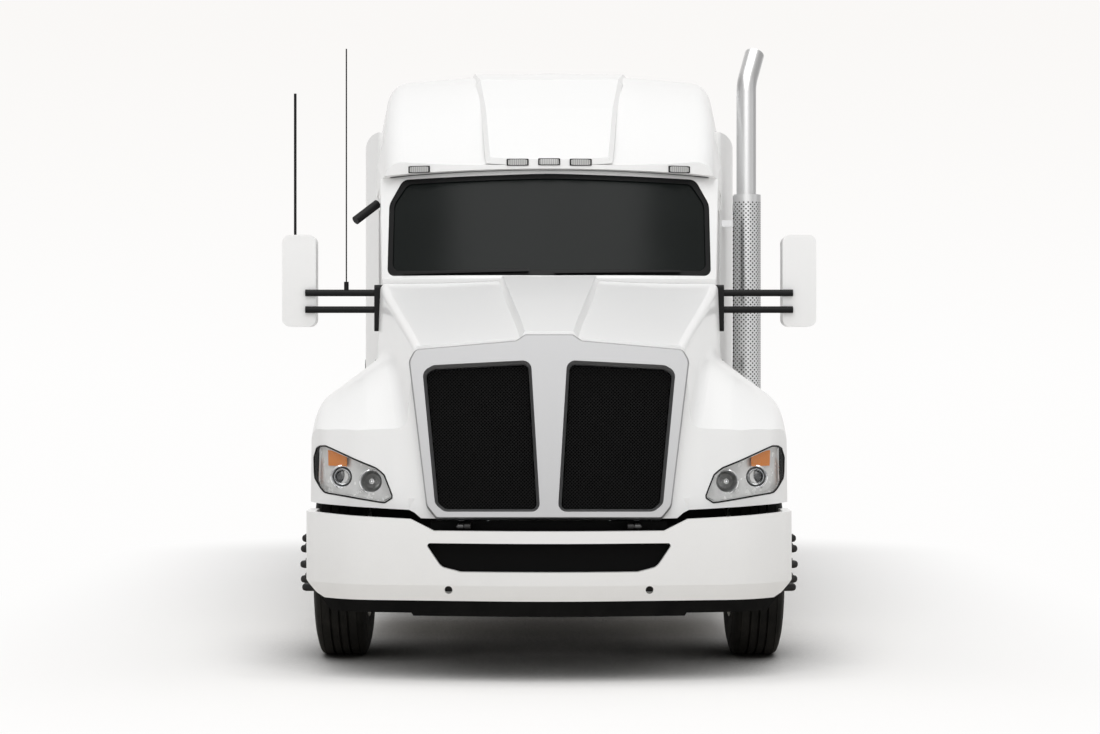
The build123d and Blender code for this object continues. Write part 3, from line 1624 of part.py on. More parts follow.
# Inside the cab: dashboard, steering wheel and seats, and the bunk in the sleeper
with BuildPart() as dashboard:
    with BuildSketch(Plane.YZ.offset(-1000)):
        with BuildLine():
            FilletPolyline(
                (front + 1900, 1650), (front + 2330, 1700), (front + 2420, 1860), (front + 2390, 2040),
                (front + 2250, 2085), (front + 1900, 2050),
                radius=[0, 40, 60, 60, 60, 0], close=True,
            )
        make_face()
    extrude(amount=2000)
    add(cab_form(cab_wall, cab_floor), mode=Mode.INTERSECT)
    with BuildSketch(Plane.YZ.offset(-1100)):
        with BuildLine():
            Polyline(
                (front + 2185, 1600), (front + 2500, 1600), (front + 2500, 2200), (front + 2185, 2200), close=True,
            )
        make_face()
    extrude(amount=1100 - 905, mode=Mode.SUBTRACT)
    with BuildSketch(Plane.YZ.offset(905)):
        with BuildLine():
            Polyline(
                (front + 2185, 1600), (front + 2500, 1600), (front + 2500, 2200), (front + 2185, 2200), close=True,
            )
        make_face()
    extrude(amount=1100 - 905, mode=Mode.SUBTRACT)
dashboard.part.label = "dashboard"
export_step(dashboard.part, "parts/dashboard.step")

wheel_radius = 225
wheel_centre = (520, front + 2530, 2090)
wheel_normal = Vector(0, 0.62, 0.785)
wheel_plane = Plane(origin=wheel_centre, x_dir=(1, 0, 0), z_dir=wheel_normal)
with BuildPart() as steering_wheel:
    with BuildSketch(Plane(origin=wheel_plane.from_local_coords((wheel_radius, 0, 0)),
                           x_dir=(1, 0, 0), z_dir=wheel_plane.y_dir)):
        Circle(15)
    revolve(axis=Axis(wheel_centre, wheel_plane.z_dir))
    with BuildSketch(wheel_plane.offset(-30)):
        Circle(62)
    extrude(amount=30)
    with BuildSketch(wheel_plane.offset(-14)):
        with PolarLocations(wheel_radius / 2 + 10, 3, start_angle=-90):
            Rectangle(wheel_radius - 20, 34)
    extrude(amount=10)
    with BuildSketch(wheel_plane.offset(-30)):
        Circle(34)
    extrude(amount=-210)
    add(dashboard.part, mode=Mode.SUBTRACT)
steering_wheel.part.label = "steering_wheel"
export_step(steering_wheel.part, "parts/steering_wheel.step")

seat_x = 520
seat_half_width = 250
with BuildPart() as seats:
    for sign in (-1, 1):
        with BuildSketch(Plane.YZ.offset(sign * seat_x - seat_half_width)):
            with BuildLine():
                FilletPolyline(
                    (front + 2600, 1600), (front + 3010, 1580), (front + 3090, 1560), (front + 3230, 2330),
                    (front + 3120, 2340), (front + 3000, 1700), (front + 2600, 1720),
                    radius=[40, 20, 30, 40, 40, 50, 50], close=True,
                )
            make_face()
        extrude(amount=2 * seat_half_width)
        with BuildSketch(Plane.XY.offset(cab_floor)):
            with Locations((sign * seat_x, front + 2800)):
                RectangleRounded(320, 330, 40)
        extrude(amount=340)
seats.part.label = "seats"
export_step(seats.part, "parts/seats.step")

bunk_front_back = 4220
bunk_half_width = 1120
with BuildPart() as bunk_base:
    with BuildSketch(Plane.XY.offset(cab_floor)):
        with Locations((0, front + (bunk_front_back + sleeper_rear_back - sleeper_wall - 1) / 2)):
            RectangleRounded(2 * bunk_half_width, sleeper_rear_back - sleeper_wall - 1 - bunk_front_back, 70)
    extrude(amount=340)
bunk_base.part.label = "bunk_base"
export_step(bunk_base.part, "parts/bunk_base.step")
with BuildPart() as bunk_mattress:
    with BuildSketch(Plane.XY.offset(cab_floor + 340 + seat_gap)):
        with Locations((0, front + (bunk_front_back + sleeper_rear_back - sleeper_wall - 21) / 2)):
            RectangleRounded(2 * bunk_half_width, sleeper_rear_back - sleeper_wall - 21 - bunk_front_back, 60)
    extrude(amount=150)
bunk_mattress.part.label = "bunk_mattress"
export_step(bunk_mattress.part, "parts/bunk_mattress.step")

# Exhaust stack at the sleeper's left front corner, with its shield and brackets
stack_x = 1265
stack_back = 3250
stack_pipe_radius = 63
stack_bend_height = 3416
stack_top = 3640
shield_radius = 93
shield_wall = 4
bracket_inner_x = 1060
shield_bottom = 1350
shield_top = 2704
stack_y = front + stack_back
with BuildPart() as exhaust_stack:
    with BuildLine():
        pipe_path = FilletPolyline(
            (900, stack_y - 128, 640), (900, stack_y, 640), (stack_x, stack_y, 640),
            (stack_x, stack_y, stack_bend_height), (stack_x + 62, stack_y + 120, stack_top - 20),
            radius=[60, 130, 160],
        )
    with BuildSketch(Plane(origin=pipe_path @ 0, z_dir=pipe_path % 0)):
        Circle(stack_pipe_radius)
    sweep()
    for height in (1500, 2500):
        with BuildSketch(Plane.XY.offset(height)):
            with Locations(((stack_x + bracket_inner_x) / 2, stack_y)):
                Rectangle(stack_x - bracket_inner_x, 40)
        extrude(amount=40)
    for height in (shield_bottom + 60, shield_top - 100):
        with BuildSketch(Plane.XY.offset(height)):
            with Locations((stack_x, stack_y)):
                Circle(shield_radius - shield_wall - seat_gap)
        extrude(amount=40)
    add(sleeper_outer, mode=Mode.SUBTRACT)
exhaust_stack.part.label = "exhaust_stack"
export_step(exhaust_stack.part, "parts/exhaust_stack.step")

with BuildPart() as stack_shield:
    with BuildSketch(Plane.XY.offset(shield_bottom)):
        with Locations((stack_x, stack_y)):
            Circle(shield_radius)
            Circle(shield_radius - shield_wall, mode=Mode.SUBTRACT)
        with Locations((stack_x - shield_radius, stack_y)):
            Rectangle(90, 80, mode=Mode.SUBTRACT)
    extrude(amount=shield_top - shield_bottom)
stack_shield.part.label = "stack_shield"
export_step(stack_shield.part, "parts/stack_shield.step")

# Mirrors: a bracket on each cowl side, two arms, the housing and its glass. Two antennas stand on
# the right one: a short one on the housing and a long whip on the arm.
housing_inner_x = 1385
housing_outer_x = 1585
housing_bottom = 1840
housing_top = 2384
housing_front_back = 2098
housing_depth = 150
housing_wall = 12
mirror_panes = (
    (housing_bottom + housing_wall + seat_gap, 2027),
    (2041, housing_top - housing_wall - seat_gap),
)
arm_heights = (1940, 2039)
arm_back = 2085
arm_radius = 20
with BuildPart() as mirror_housings:
    for sign in (-1, 1):
        with BuildSketch(front_plane(housing_front_back)):
            with Locations((sign * (housing_inner_x + housing_outer_x) / 2, (housing_bottom + housing_top) / 2)):
                RectangleRounded(housing_outer_x - housing_inner_x, housing_top - housing_bottom, 45)
        extrude(amount=-housing_depth)
        with BuildSketch(front_plane(housing_front_back + 40)):
            with Locations((sign * (housing_inner_x + housing_outer_x) / 2, (housing_bottom + housing_top) / 2)):
                RectangleRounded(housing_outer_x - housing_inner_x - 2 * housing_wall,
                                 housing_top - housing_bottom - 2 * housing_wall, 33)
        extrude(amount=-housing_depth, mode=Mode.SUBTRACT)
mirror_housings.part.label = "mirror_housings"
export_step(mirror_housings.part, "parts/mirror_housings.step")

with BuildPart() as mirror_glass:
    for sign in (-1, 1):
        with BuildSketch(front_plane(housing_front_back + housing_depth - 16)):
            for low, high in mirror_panes:
                with Locations((sign * (housing_inner_x + housing_outer_x) / 2, (low + high) / 2)):
                    RectangleRounded(
                        housing_outer_x - housing_inner_x - 2 * (housing_wall + seat_gap), high - low, 34,
                    )
        extrude(amount=-6)
mirror_glass.part.label = "mirror_glass"
export_step(mirror_glass.part, "parts/mirror_glass.step")

with BuildPart() as mirror_arms:
    for sign in (-1, 1):
        for height in arm_heights:
            with BuildSketch(Plane.YZ.offset(sign * (cab_corner_x + 40))):
                with Locations((front + arm_back, height)):
                    Circle(arm_radius)
            extrude(amount=sign * (housing_inner_x + 60 - cab_corner_x - 40))
        with BuildSketch(Plane.YZ.offset(sign * (cab_corner_x - 10))):
            with BuildLine():
                FilletPolyline(
                    (front + 2056, 1800), (front + 2184, 1860), (front + 2184, 2070), (front + 2056, 2090),
                    radius=[20, 30, 30, 20], close=True,
                )
            make_face()
        extrude(amount=sign * 60)
    add(mirror_housings.part, mode=Mode.SUBTRACT)
    add(cab_form(0, cab_bottom), mode=Mode.SUBTRACT)
    with BuildSketch(Plane.XY.offset(housing_top)):
        with Locations((-1514, front + housing_front_back + 70)):
            Circle(8)
    extrude(amount=846)
    with BuildSketch(Plane.XY.offset(arm_heights[1] + arm_radius - 4)):
        with Locations((-1202, front + arm_back)):
            Circle(14)
    extrude(amount=50)
    with BuildSketch(Plane.XY.offset(arm_heights[1] + arm_radius)):
        with Locations((-1202, front + arm_back)):
            Circle(4)
    extrude(amount=1427)
mirror_arms.part.label = "mirror_arms"
export_step(mirror_arms.part, "parts/mirror_arms.step")

# Look-down mirror at the top of the right door
with BuildPart() as look_down_mirror:
    with BuildLine():
        capsule = Line((1062, front + 2700, 2610), (1190, front + 2600, 2500))
    with BuildSketch(Plane(origin=capsule @ 0, z_dir=capsule % 0)):
        Circle(27)
    sweep()
    extrude(door_plane * on_door(door_outline), amount=-300, mode=Mode.SUBTRACT)
    mirror(about=Plane.YZ, mode=Mode.REPLACE)
look_down_mirror.part.label = "look_down_mirror"
export_step(look_down_mirror.part, "parts/look_down_mirror.step")

# Marker lamps along the roof's brow
with BuildPart() as marker_lamps:
    for x in (-790, -190, 0, 190, 790):
        with BuildSketch(front_plane(2200)):
            with Locations((x, 2835 - 35 * (abs(x) / 790) ** 2)):
                RectangleRounded(126, 36, 14)
        extrude(amount=-500)
    add(Pos(0, -12, 0) * roof_form(0), mode=Mode.INTERSECT)
    add(roof_form(0), mode=Mode.SUBTRACT)
marker_lamps.part.label = "marker_lamps"
export_step(marker_lamps.part, "parts/marker_lamps.step")
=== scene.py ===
import bmesh
import bpy
import math
from mathutils import Matrix, Vector


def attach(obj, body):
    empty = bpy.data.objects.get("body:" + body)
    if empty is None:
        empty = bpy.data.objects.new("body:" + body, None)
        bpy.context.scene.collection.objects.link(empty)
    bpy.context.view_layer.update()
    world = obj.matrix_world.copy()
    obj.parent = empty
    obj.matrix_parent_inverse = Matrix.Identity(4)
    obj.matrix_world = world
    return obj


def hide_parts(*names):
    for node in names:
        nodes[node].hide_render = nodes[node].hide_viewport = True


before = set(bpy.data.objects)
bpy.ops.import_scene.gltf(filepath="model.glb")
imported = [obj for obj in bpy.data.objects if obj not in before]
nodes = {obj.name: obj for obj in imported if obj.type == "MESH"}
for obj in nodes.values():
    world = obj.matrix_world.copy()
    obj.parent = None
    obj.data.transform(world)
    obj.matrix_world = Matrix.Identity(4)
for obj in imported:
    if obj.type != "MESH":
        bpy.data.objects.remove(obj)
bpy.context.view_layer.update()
scene = bpy.context.scene
scene.view_settings.view_transform = "Standard"

# Camera
# A long lens twelve metres ahead of the bumper and 1.6 m up, level and square to the truck, as the
# photograph was taken.
camera_data = bpy.data.cameras.new("camera")
camera_data.lens = 77.76
camera_data.sensor_width = 36
camera_data.clip_end = 400
camera = bpy.data.objects.new("camera", camera_data)
camera.location = (0.005, -16.2, 1.6)
camera.rotation_euler = (math.radians(90), 0, 0)
scene.collection.objects.link(camera)
scene.camera = camera


# Studio
# A pale room. It lights everything evenly and a little cool, and is seen near white by the eye, in gloss
# and through glass, with a darker flag at each side that gives the paint's edges their shape.
def add_node(tree, kind, inputs=None, **settings):
    """A shader node with its settings, and each input given as a value or as another node's output."""
    node = tree.nodes.new("ShaderNode" + kind)
    for setting, value in settings.items():
        setattr(node, setting, value)
    for socket, value in (inputs or {}).items():
        if isinstance(value, bpy.types.NodeSocket):
            tree.links.new(value, node.inputs[socket])
        else:
            node.inputs[socket].default_value = value
    return node


wall_colour = (0.99, 0.985, 0.98, 1)
upper_wall_colour = (0.955, 0.94, 0.925, 1)
flag_colour = (0.42, 0.415, 0.41, 1)
world = bpy.data.worlds.new("studio")
scene.world = world
world.use_nodes = True
tree = world.node_tree
tree.nodes.clear()
ray = add_node(tree, "LightPath")
direction = add_node(tree, "SeparateXYZ", {0: add_node(tree, "TexCoord").outputs["Generated"]})
height = add_node(tree, "MapRange", {"Value": direction.outputs["Z"], "From Max": 0.14})
wall = add_node(tree, "Mix", data_type="RGBA",
                inputs={"Factor": height.outputs["Result"], "A": wall_colour, "B": upper_wall_colour})
aside = add_node(tree, "Math", {0: direction.outputs["X"]}, operation="ABSOLUTE")
flags = add_node(tree, "MapRange", {"Value": aside.outputs[0], "From Min": 0.3, "From Max": 0.85})
in_gloss = add_node(tree, "Math", {0: flags.outputs["Result"], 1: ray.outputs["Is Glossy Ray"]}, operation="MULTIPLY")
flagged = add_node(tree, "Mix", data_type="RGBA",
                   inputs={"Factor": in_gloss.outputs[0], "A": wall.outputs["Result"], "B": flag_colour})
by_eye = add_node(tree, "Math", operation="MAXIMUM",
                  inputs={0: ray.outputs["Is Camera Ray"], 1: ray.outputs["Is Glossy Ray"]})
shown = add_node(tree, "Math", {0: by_eye.outputs[0], 1: ray.outputs["Is Transmission Ray"]}, operation="MAXIMUM")
lit = add_node(tree, "Background", {"Color": (0.97, 0.985, 1.0, 1), "Strength": 0.5})
seen = add_node(tree, "Background", {"Color": flagged.outputs["Result"]})
room = add_node(tree, "MixShader", {"Fac": shown.outputs[0], 1: lit.outputs[0], 2: seen.outputs[0]})
add_node(tree, "OutputWorld", {"Surface": room.outputs[0]})

# Lamps
# A wide softbox overhead and forward of the cab, a broad fill high in front, and a strip at each side for
# the gloss on the edges. Each row: name, place, aim, size and power.
for name, place, aim, size, power in (
    ("overhead", (0, -7.5, 13.0), (0, -2.5, 0.5), (12, 16), 1125),
    ("front_fill", (0.0, -15.0, 7.0), (0, -3.5, 1.6), (9, 4), 120),
    ("left_strip", (9.0, -4.0, 4.0), (0, -2.0, 1.5), (3, 7), 18),
    ("right_strip", (-9.0, -4.0, 4.0), (0, -2.0, 1.5), (3, 7), 18),
):
    lamp = bpy.data.lights.new(name, "AREA")
    lamp.shape = "RECTANGLE"
    lamp.size, lamp.size_y = size
    lamp.energy = power
    lamp_object = bpy.data.objects.new(name, lamp)
    lamp_object.location = place
    lamp_object.rotation_euler = (Vector(aim) - Vector(place)).to_track_quat("-Z", "Y").to_euler()
    scene.collection.objects.link(lamp_object)

# Floor
# A pale painted floor. Its colour is darkened by an ambient occlusion node where the truck stands close above it,
# as painted shade and a painted shadow round the wheels, and it fades into the room's own white further out.
shadow_reach = (1.25, 4.0, 0)
floor_mesh = bpy.data.meshes.new("floor")
floor_build = bmesh.new()
bmesh.ops.create_grid(floor_build, x_segments=8, y_segments=8, size=120)
floor_build.to_mesh(floor_mesh)
floor_build.free()
floor = bpy.data.objects.new("floor", floor_mesh)
scene.collection.objects.link(floor)
floor_material = bpy.data.materials.new("studio_floor")
floor_mesh.materials.append(floor_material)
floor_material.use_nodes = True
tree = floor_material.node_tree
tree.nodes.clear()
from_middle = add_node(tree, "VectorMath", {0: add_node(tree, "TexCoord").outputs["Object"]}, operation="ABSOLUTE")
past_truck = add_node(tree, "VectorMath", {0: from_middle.outputs[0], 1: shadow_reach}, operation="SUBTRACT")
outside = add_node(tree, "VectorMath", {0: past_truck.outputs[0], 1: (0, 0, 0)}, operation="MAXIMUM")
distance = add_node(tree, "VectorMath", {0: outside.outputs[0]}, operation="LENGTH")
fade = add_node(tree, "MapRange", interpolation_type="SMOOTHSTEP",
                inputs={"Value": distance.outputs["Value"], "From Min": 0.1, "From Max": 2.6})
# Painted shade: the floor's colour goes towards a dark brown as the ambient occlusion from the truck grows.
nearby = add_node(tree, "AmbientOcclusion", {"Distance": 1.2}, samples=8)
depth = add_node(tree, "MapRange", {"Value": nearby.outputs["AO"], "From Min": 0.12, "From Max": 0.72})
shade = add_node(tree, "Mix", data_type="RGBA", inputs={
    "Factor": depth.outputs["Result"], "A": (0.1, 0.094, 0.086, 1), "B": (0.985, 0.968, 0.95, 1)})
bounce = add_node(tree, "Mix", data_type="RGBA", inputs={
    "Factor": add_node(tree, "LightPath").outputs["Is Camera Ray"], "A": (0.56, 0.52, 0.46, 1),
    "B": shade.outputs["Result"]})
painted = add_node(tree, "BsdfDiffuse", {"Color": bounce.outputs["Result"]})
glow = add_node(tree, "Emission", {"Color": wall_colour})
faded = add_node(tree, "MixShader", {"Fac": fade.outputs["Result"], 1: painted.outputs[0], 2: glow.outputs[0]})
add_node(tree, "OutputMaterial", {"Surface": faded.outputs[0]})


# Grain and road film
# Two shader groups that every finish of the truck uses: grain gives a noise value and a fine bump, and
# film lays patchy road dust on whatever is low.
def new_group(name, inputs, outputs):
    """An empty shader group with named sockets and its input and output nodes."""
    group = bpy.data.node_groups.new(name, "ShaderNodeTree")
    for label, kind, value in inputs:
        socket = group.interface.new_socket(name=label, in_out="INPUT", socket_type=kind)
        socket.default_value = value
    for label, kind in outputs:
        group.interface.new_socket(name=label, in_out="OUTPUT", socket_type=kind)
    return group, group.nodes.new("NodeGroupInput"), group.nodes.new("NodeGroupOutput")


def multiplied(tree, first, second, **settings):
    """The product of two values."""
    return add_node(tree, "Math", {0: first, 1: second}, operation="MULTIPLY", **settings).outputs[0]


def object_place(tree):
    """The point being shaded, in the truck's own coordinates."""
    return add_node(tree, "TexCoord").outputs["Object"]


grain_group, group_in, group_out = new_group(
    "grain",
    [("Scale", "NodeSocketFloat", 300.0), ("Distance", "NodeSocketFloat", 0.0005)],
    [("Value", "NodeSocketFloat"), ("Normal", "NodeSocketVector")],
)
noise = add_node(grain_group, "TexNoise", {
    "Vector": object_place(grain_group), "Scale": group_in.outputs["Scale"], "Detail": 4.0})
bump = add_node(grain_group, "Bump", {
    "Strength": 0.6, "Distance": group_in.outputs["Distance"], "Height": noise.outputs["Fac"]})
grain_group.links.new(noise.outputs["Fac"], group_out.inputs["Value"])
grain_group.links.new(bump.outputs["Normal"], group_out.inputs["Normal"])

film_group, group_in, group_out = new_group(
    "road_film",
    [
        ("Color", "NodeSocketColor", (0.8, 0.8, 0.8, 1)),
        ("Film", "NodeSocketColor", (0.32, 0.3, 0.27, 1)),
        ("Amount", "NodeSocketFloat", 0.2),
        ("Top", "NodeSocketFloat", 1.4),
    ],
    [("Color", "NodeSocketColor"), ("Mask", "NodeSocketFloat")],
)
place = object_place(film_group)
height = add_node(film_group, "MapRange", {
    "Value": add_node(film_group, "SeparateXYZ", {0: place}).outputs["Z"],
    "From Min": group_in.outputs["Top"], "From Max": 0.3, "To Min": 0.0, "To Max": 1.0})
patches = add_node(film_group, "TexNoise", {"Vector": place, "Scale": 6.0, "Detail": 6.0, "Roughness": 0.65})
spread = add_node(film_group, "MapRange", {"Value": patches.outputs["Fac"], "From Min": 0.35, "From Max": 0.75})
low_patches = multiplied(film_group, height.outputs["Result"], spread.outputs["Result"])
mask = multiplied(film_group, low_patches, group_in.outputs["Amount"], use_clamp=True)
filmed = add_node(film_group, "Mix", data_type="RGBA", inputs={
    "Factor": mask, "A": group_in.outputs["Color"], "B": group_in.outputs["Film"]})
film_group.links.new(filmed.outputs["Result"], group_out.inputs["Color"])
film_group.links.new(mask, group_out.inputs["Mask"])


def material(name, shown_on, **constants):
    """A principled material, put on the CAD nodes named, with its node tree and its shader."""
    made = bpy.data.materials.new(name)
    made.use_nodes = True
    shader = made.node_tree.nodes["Principled BSDF"]
    for socket, value in constants.items():
        shader.inputs[socket.replace("_", " ")].default_value = value
    for node in shown_on:
        nodes[node].data.materials.clear()
        nodes[node].data.materials.append(made)
    return made, made.node_tree, shader


def vary(tree, source, low, high):
    """A value mapped from 0..1 to a range."""
    return add_node(tree, "MapRange", {"Value": source, "To Min": low, "To Max": high}).outputs["Result"]


def tinted(tree, mask, dark, pale):
    """A colour between two, by a mask; each may be another node's colour."""
    both = [colour if isinstance(colour, bpy.types.NodeSocket) else (*colour, 1) for colour in (dark, pale)]
    return add_node(tree, "Mix", {"Factor": mask, "A": both[0], "B": both[1]}, data_type="RGBA").outputs["Result"]


def finish_surface(tree, shader, scale, bump, dark, pale, rough, film=0.2, top=1.4):
    """Grain, colour variation, uneven gloss and road film below a height, on a principled shader."""
    grain = add_node(tree, "Group", {"Scale": scale, "Distance": bump}, node_tree=grain_group)
    dust = add_node(tree, "Group", node_tree=film_group, inputs={
        "Amount": film, "Top": top, "Color": tinted(tree, grain.outputs["Value"], dark, pale)})
    tree.links.new(dust.outputs["Color"], shader.inputs["Base Color"])
    tree.links.new(vary(tree, grain.outputs["Value"], *rough), shader.inputs["Roughness"])
    tree.links.new(grain.outputs["Normal"], shader.inputs["Normal"])
    return grain, dust


# White paint
# Clear-coated white over the cab, sleeper, roof, doors, bumper, steps and mirror backs, with a little
# orange peel and a trace of road film low down.
white_finish = dict(scale=140, bump=0.00005, dark=(0.855, 0.85, 0.84), pale=(0.885, 0.88, 0.872), rough=(0.38, 0.46),
                    film=0.06, top=0.9)
clear_coat = dict(Coat_Weight=0.35, Coat_Roughness=0.12, Coat_IOR=1.45)
white_panels = ["cab_shell", "sleeper_shell", "roof_cap", "door_left", "door_right", "front_bumper",
                "side_extenders", "cab_steps", "mirror_housings"]
white_paint, tree, shader = material("white_paint", white_panels, **clear_coat)
finish_surface(tree, shader, **white_finish)

# Hood paint
# The hood is moulded in one piece and painted the same white. Its hinge lugs and tube, which hang below
# the nose, are coloured near black below a set height as painted shade, so they read as the dark gap under the nose.
painted_shade_top = 0.807
hood_paint, tree, shader = material("hood_paint", ["hood_shell"], **clear_coat)
grain, dust = finish_surface(tree, shader, **white_finish)
height = add_node(tree, "SeparateXYZ", {0: object_place(tree)}).outputs["Z"]
# Painted shade: below this height the hood's colour is near black.
above = add_node(tree, "MapRange", {"Value": height, "From Min": painted_shade_top, "From Max": painted_shade_top + 0.001})
tree.links.new(tinted(tree, above.outputs["Result"], (0.006, 0.006, 0.006), dust.outputs["Color"]),
               shader.inputs["Base Color"])

# Bumper trim
# The intake's liner and the valance below the bumper, moulded in matt black plastic that takes almost no
# light.
bumper_black, tree, shader = material("bumper_black", ["bumper_trim"], Specular_IOR_Level=0.06)
finish_surface(tree, shader, scale=500, bump=0.0003, dark=(0.0015, 0.0015, 0.0015), pale=(0.004, 0.004, 0.004),
               rough=(0.55, 0.75), film=0.02, top=0.6)

# Grille surround
# A heavy moulded frame with a centre post, bolted to the nose and sprayed with a satin silver paint that
# carries a fine metal flake.
satin_silver, tree, shader = material("satin_silver", ["grille_surround"], Metallic=0.9)
finish_surface(tree, shader, scale=900, bump=0.00004, dark=(0.37, 0.372, 0.378), pale=(0.43, 0.432, 0.438),
               rough=(0.28, 0.36), film=0.04, top=1.0)

# Woven grille
# Two panels of black wire woven on the diagonal. Each wire rises and falls over the ones it crosses, and
# the panels hang in the surround's two openings ahead of a black plate.
sides = (("left", 1), ("right", -1))
grille_origin = Vector((0, -4.066, 0.811))
grille_turn = Matrix.Rotation(-math.atan2(190, 940), 4, "X")
grille_opening = [(0.062, 0.0643), (0.530, 0.0643), (0.568, 0.0959), (0.637, 0.7713), (0.594, 0.7968),
                  (0.108, 0.8223)]
opening_middle = Vector((0.35, 0.443))
wire_radius = 0.0021
wire_pitch = 0.0127
weave_lift = 0.0016
behind_frame = 0.030
wires_from_middle = 60
mesh_black, tree, shader = material("mesh_black", ["grille_mesh"], Specular_IOR_Level=0.05)
finish_surface(tree, shader, scale=400, bump=0.0004, dark=(0.0008, 0.0008, 0.0008), pale=(0.002, 0.002, 0.002),
               rough=(0.6, 0.85), film=0.0)
wire_black, tree, shader = material("grille_wire", [], Specular_IOR_Level=0.15)
finish_surface(tree, shader, scale=900, bump=0.0001, dark=(0.0035, 0.0035, 0.0035), pale=(0.008, 0.008, 0.008),
               rough=(0.4, 0.55), film=0.0)


def tubes(name, paths, radius, made, body, corners=1, closed=False):
    """Round bars along paths of points, as one piece that rides on a body."""
    curve = bpy.data.curves.new(name, "CURVE")
    curve.dimensions = "3D"
    curve.bevel_depth = radius
    curve.bevel_resolution = corners
    curve.use_fill_caps = True
    for points in paths:
        spline = curve.splines.new("POLY")
        spline.points.add(len(points) - 1)
        for point, place in zip(spline.points, points):
            point.co = (*place, 1)
        spline.use_cyclic_u = closed
    bar = bpy.data.objects.new(name + "_path", curve)
    scene.collection.objects.link(bar)
    mesh = bpy.data.meshes.new_from_object(bar.evaluated_get(bpy.context.evaluated_depsgraph_get()))
    bpy.data.objects.remove(bar)
    bpy.data.curves.remove(curve)
    mesh.name = name
    mesh.materials.clear()
    mesh.materials.append(made)
    mesh.shade_smooth()
    piece = bpy.data.objects.new(name, mesh)
    scene.collection.objects.link(piece)
    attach(piece, body)
    return piece


def inside(outline, point):
    """Whether a point lies inside a convex outline."""
    turns = []
    for first, second in zip(outline, outline[1:] + outline[:1]):
        turns.append((second[0] - first[0]) * (point.y - first[1]) - (second[1] - first[1]) * (point.x - first[0]))
    return min(turns) > 0 or max(turns) < 0


for side, sign in sides:
    wires = []
    for slant in (1, -1):
        along = Vector((0.7071, 0.7071 * slant))
        across = Vector((-along.y, along.x))
        for row in range(-wires_from_middle, wires_from_middle + 1):
            points = []
            for k in range(-wires_from_middle, wires_from_middle + 1):
                flat = opening_middle + across * wire_pitch * row + along * wire_pitch * k
                if inside(grille_opening, flat):
                    lift = weave_lift * slant * (1 if (k + row) % 2 else -1) - behind_frame
                    points.append(grille_origin + grille_turn @ Vector((sign * flat.x, -lift, flat.y)))
            if len(points) > 2:
                wires.append(points)
    tubes(f"grille_wire_{side}", wires, wire_radius, wire_black, "hood", 0)

# Headlamps
# A bright reflector tray with two spun bowls, a projector in the outer one, a bulb in the inner one, and
# amber reflectors, all behind a clear moulded lens that is seated in a rubber gasket.
clear_lens, tree, shader = material("clear_lens", ["headlamp_lenses"], Metallic=1.0)
finish_surface(tree, shader, scale=60, bump=0.000004, dark=(0.93, 0.94, 0.95), pale=(0.97, 0.98, 0.98),
               rough=(0.01, 0.03), film=0.0)
glance = add_node(tree, "Fresnel", {"IOR": 1.1})
tree.links.new(glance.outputs["Fac"], shader.inputs["Alpha"])
lamp_chrome, tree, shader = material("lamp_chrome", [], Metallic=1.0)
finish_surface(tree, shader, scale=50, bump=0.00002, dark=(0.8, 0.81, 0.82), pale=(0.9, 0.9, 0.91),
               rough=(0.06, 0.16), film=0.0)
lamp_tray, tree, shader = material("lamp_tray", ["headlamp_housings"], Metallic=0.25)
finish_surface(tree, shader, scale=26, bump=0.0004, dark=(0.6, 0.6, 0.59), pale=(0.82, 0.82, 0.81),
               rough=(0.15, 0.35), film=0.0)
lamp_amber, tree, shader = material("lamp_amber", [], Coat_Weight=0.5)
finish_surface(tree, shader, scale=220, bump=0.0008, dark=(0.5, 0.13, 0.012), pale=(0.75, 0.26, 0.03),
               rough=(0.15, 0.3), film=0.0)
projector_glass, tree, shader = material("projector_glass", [], Coat_Weight=1.0)
finish_surface(tree, shader, scale=40, bump=0.00002, dark=(0.02, 0.022, 0.024), pale=(0.05, 0.052, 0.055),
               rough=(0.05, 0.12), film=0.0)
lamp_rubber, tree, shader = material("lamp_gasket_rubber", [], Specular_IOR_Level=0.15)
finish_surface(tree, shader, scale=400, bump=0.0002, dark=(0.006, 0.006, 0.006), pale=(0.012, 0.012, 0.012),
               rough=(0.5, 0.7), film=0.0)
lamp_edge = [(1.188, 1.188), (1.222, 1.186), (1.243, 1.168), (1.261, 1.118), (1.2555, 1.008), (1.236, 0.976),
             (1.190, 0.937), (1.17, 0.932), (0.87, 0.897), (0.845, 0.898), (0.803, 0.920), (0.804, 0.934),
             (0.850, 1.040), (0.868, 1.062), (0.896, 1.078)]
amber_block = ((1.062, 1.078), (1.168, 1.078), (1.172, 1.160), (1.15, 1.158), (1.062, 1.130))
amber_strip = ((1.222, 0.985), (1.240, 1.0), (1.246, 1.118), (1.232, 1.163), (1.212, 1.168), (1.224, 1.118))
outer_bowl = (1.089, 1.022, 0.0535)
inner_bowl = (0.925, 1.003, 0.0545)
tray_depth = 0.052
bowl_depth = 0.062
bulb_depth = 0.057
sheet_spacing = 0.006
tray_share = 0.93
tray_thickness = 0.002
amber_thickness = 0.012
gasket_share = 0.988
gasket_radius = 0.0042
projector_ring = [(0.0, 0.0345), (0.008, 0.0345), (0.012, 0.038), (0.008, 0.042), (0.0, 0.044)]
projector_lens = [(0.001, 0.0), (0.014, 0.0), (0.0125, 0.012), (0.008, 0.023), (0.003, 0.031), (0.001, 0.0335)]
bulb_shape = [(0.0, 0.0), (0.02, 0.0), (0.018, 0.005), (0.008, 0.0095), (0.0, 0.0105)]
forward = Vector((0, -1, 0))
rightward = Vector((1, 0, 0))
upward = Vector((0, 0, 1))


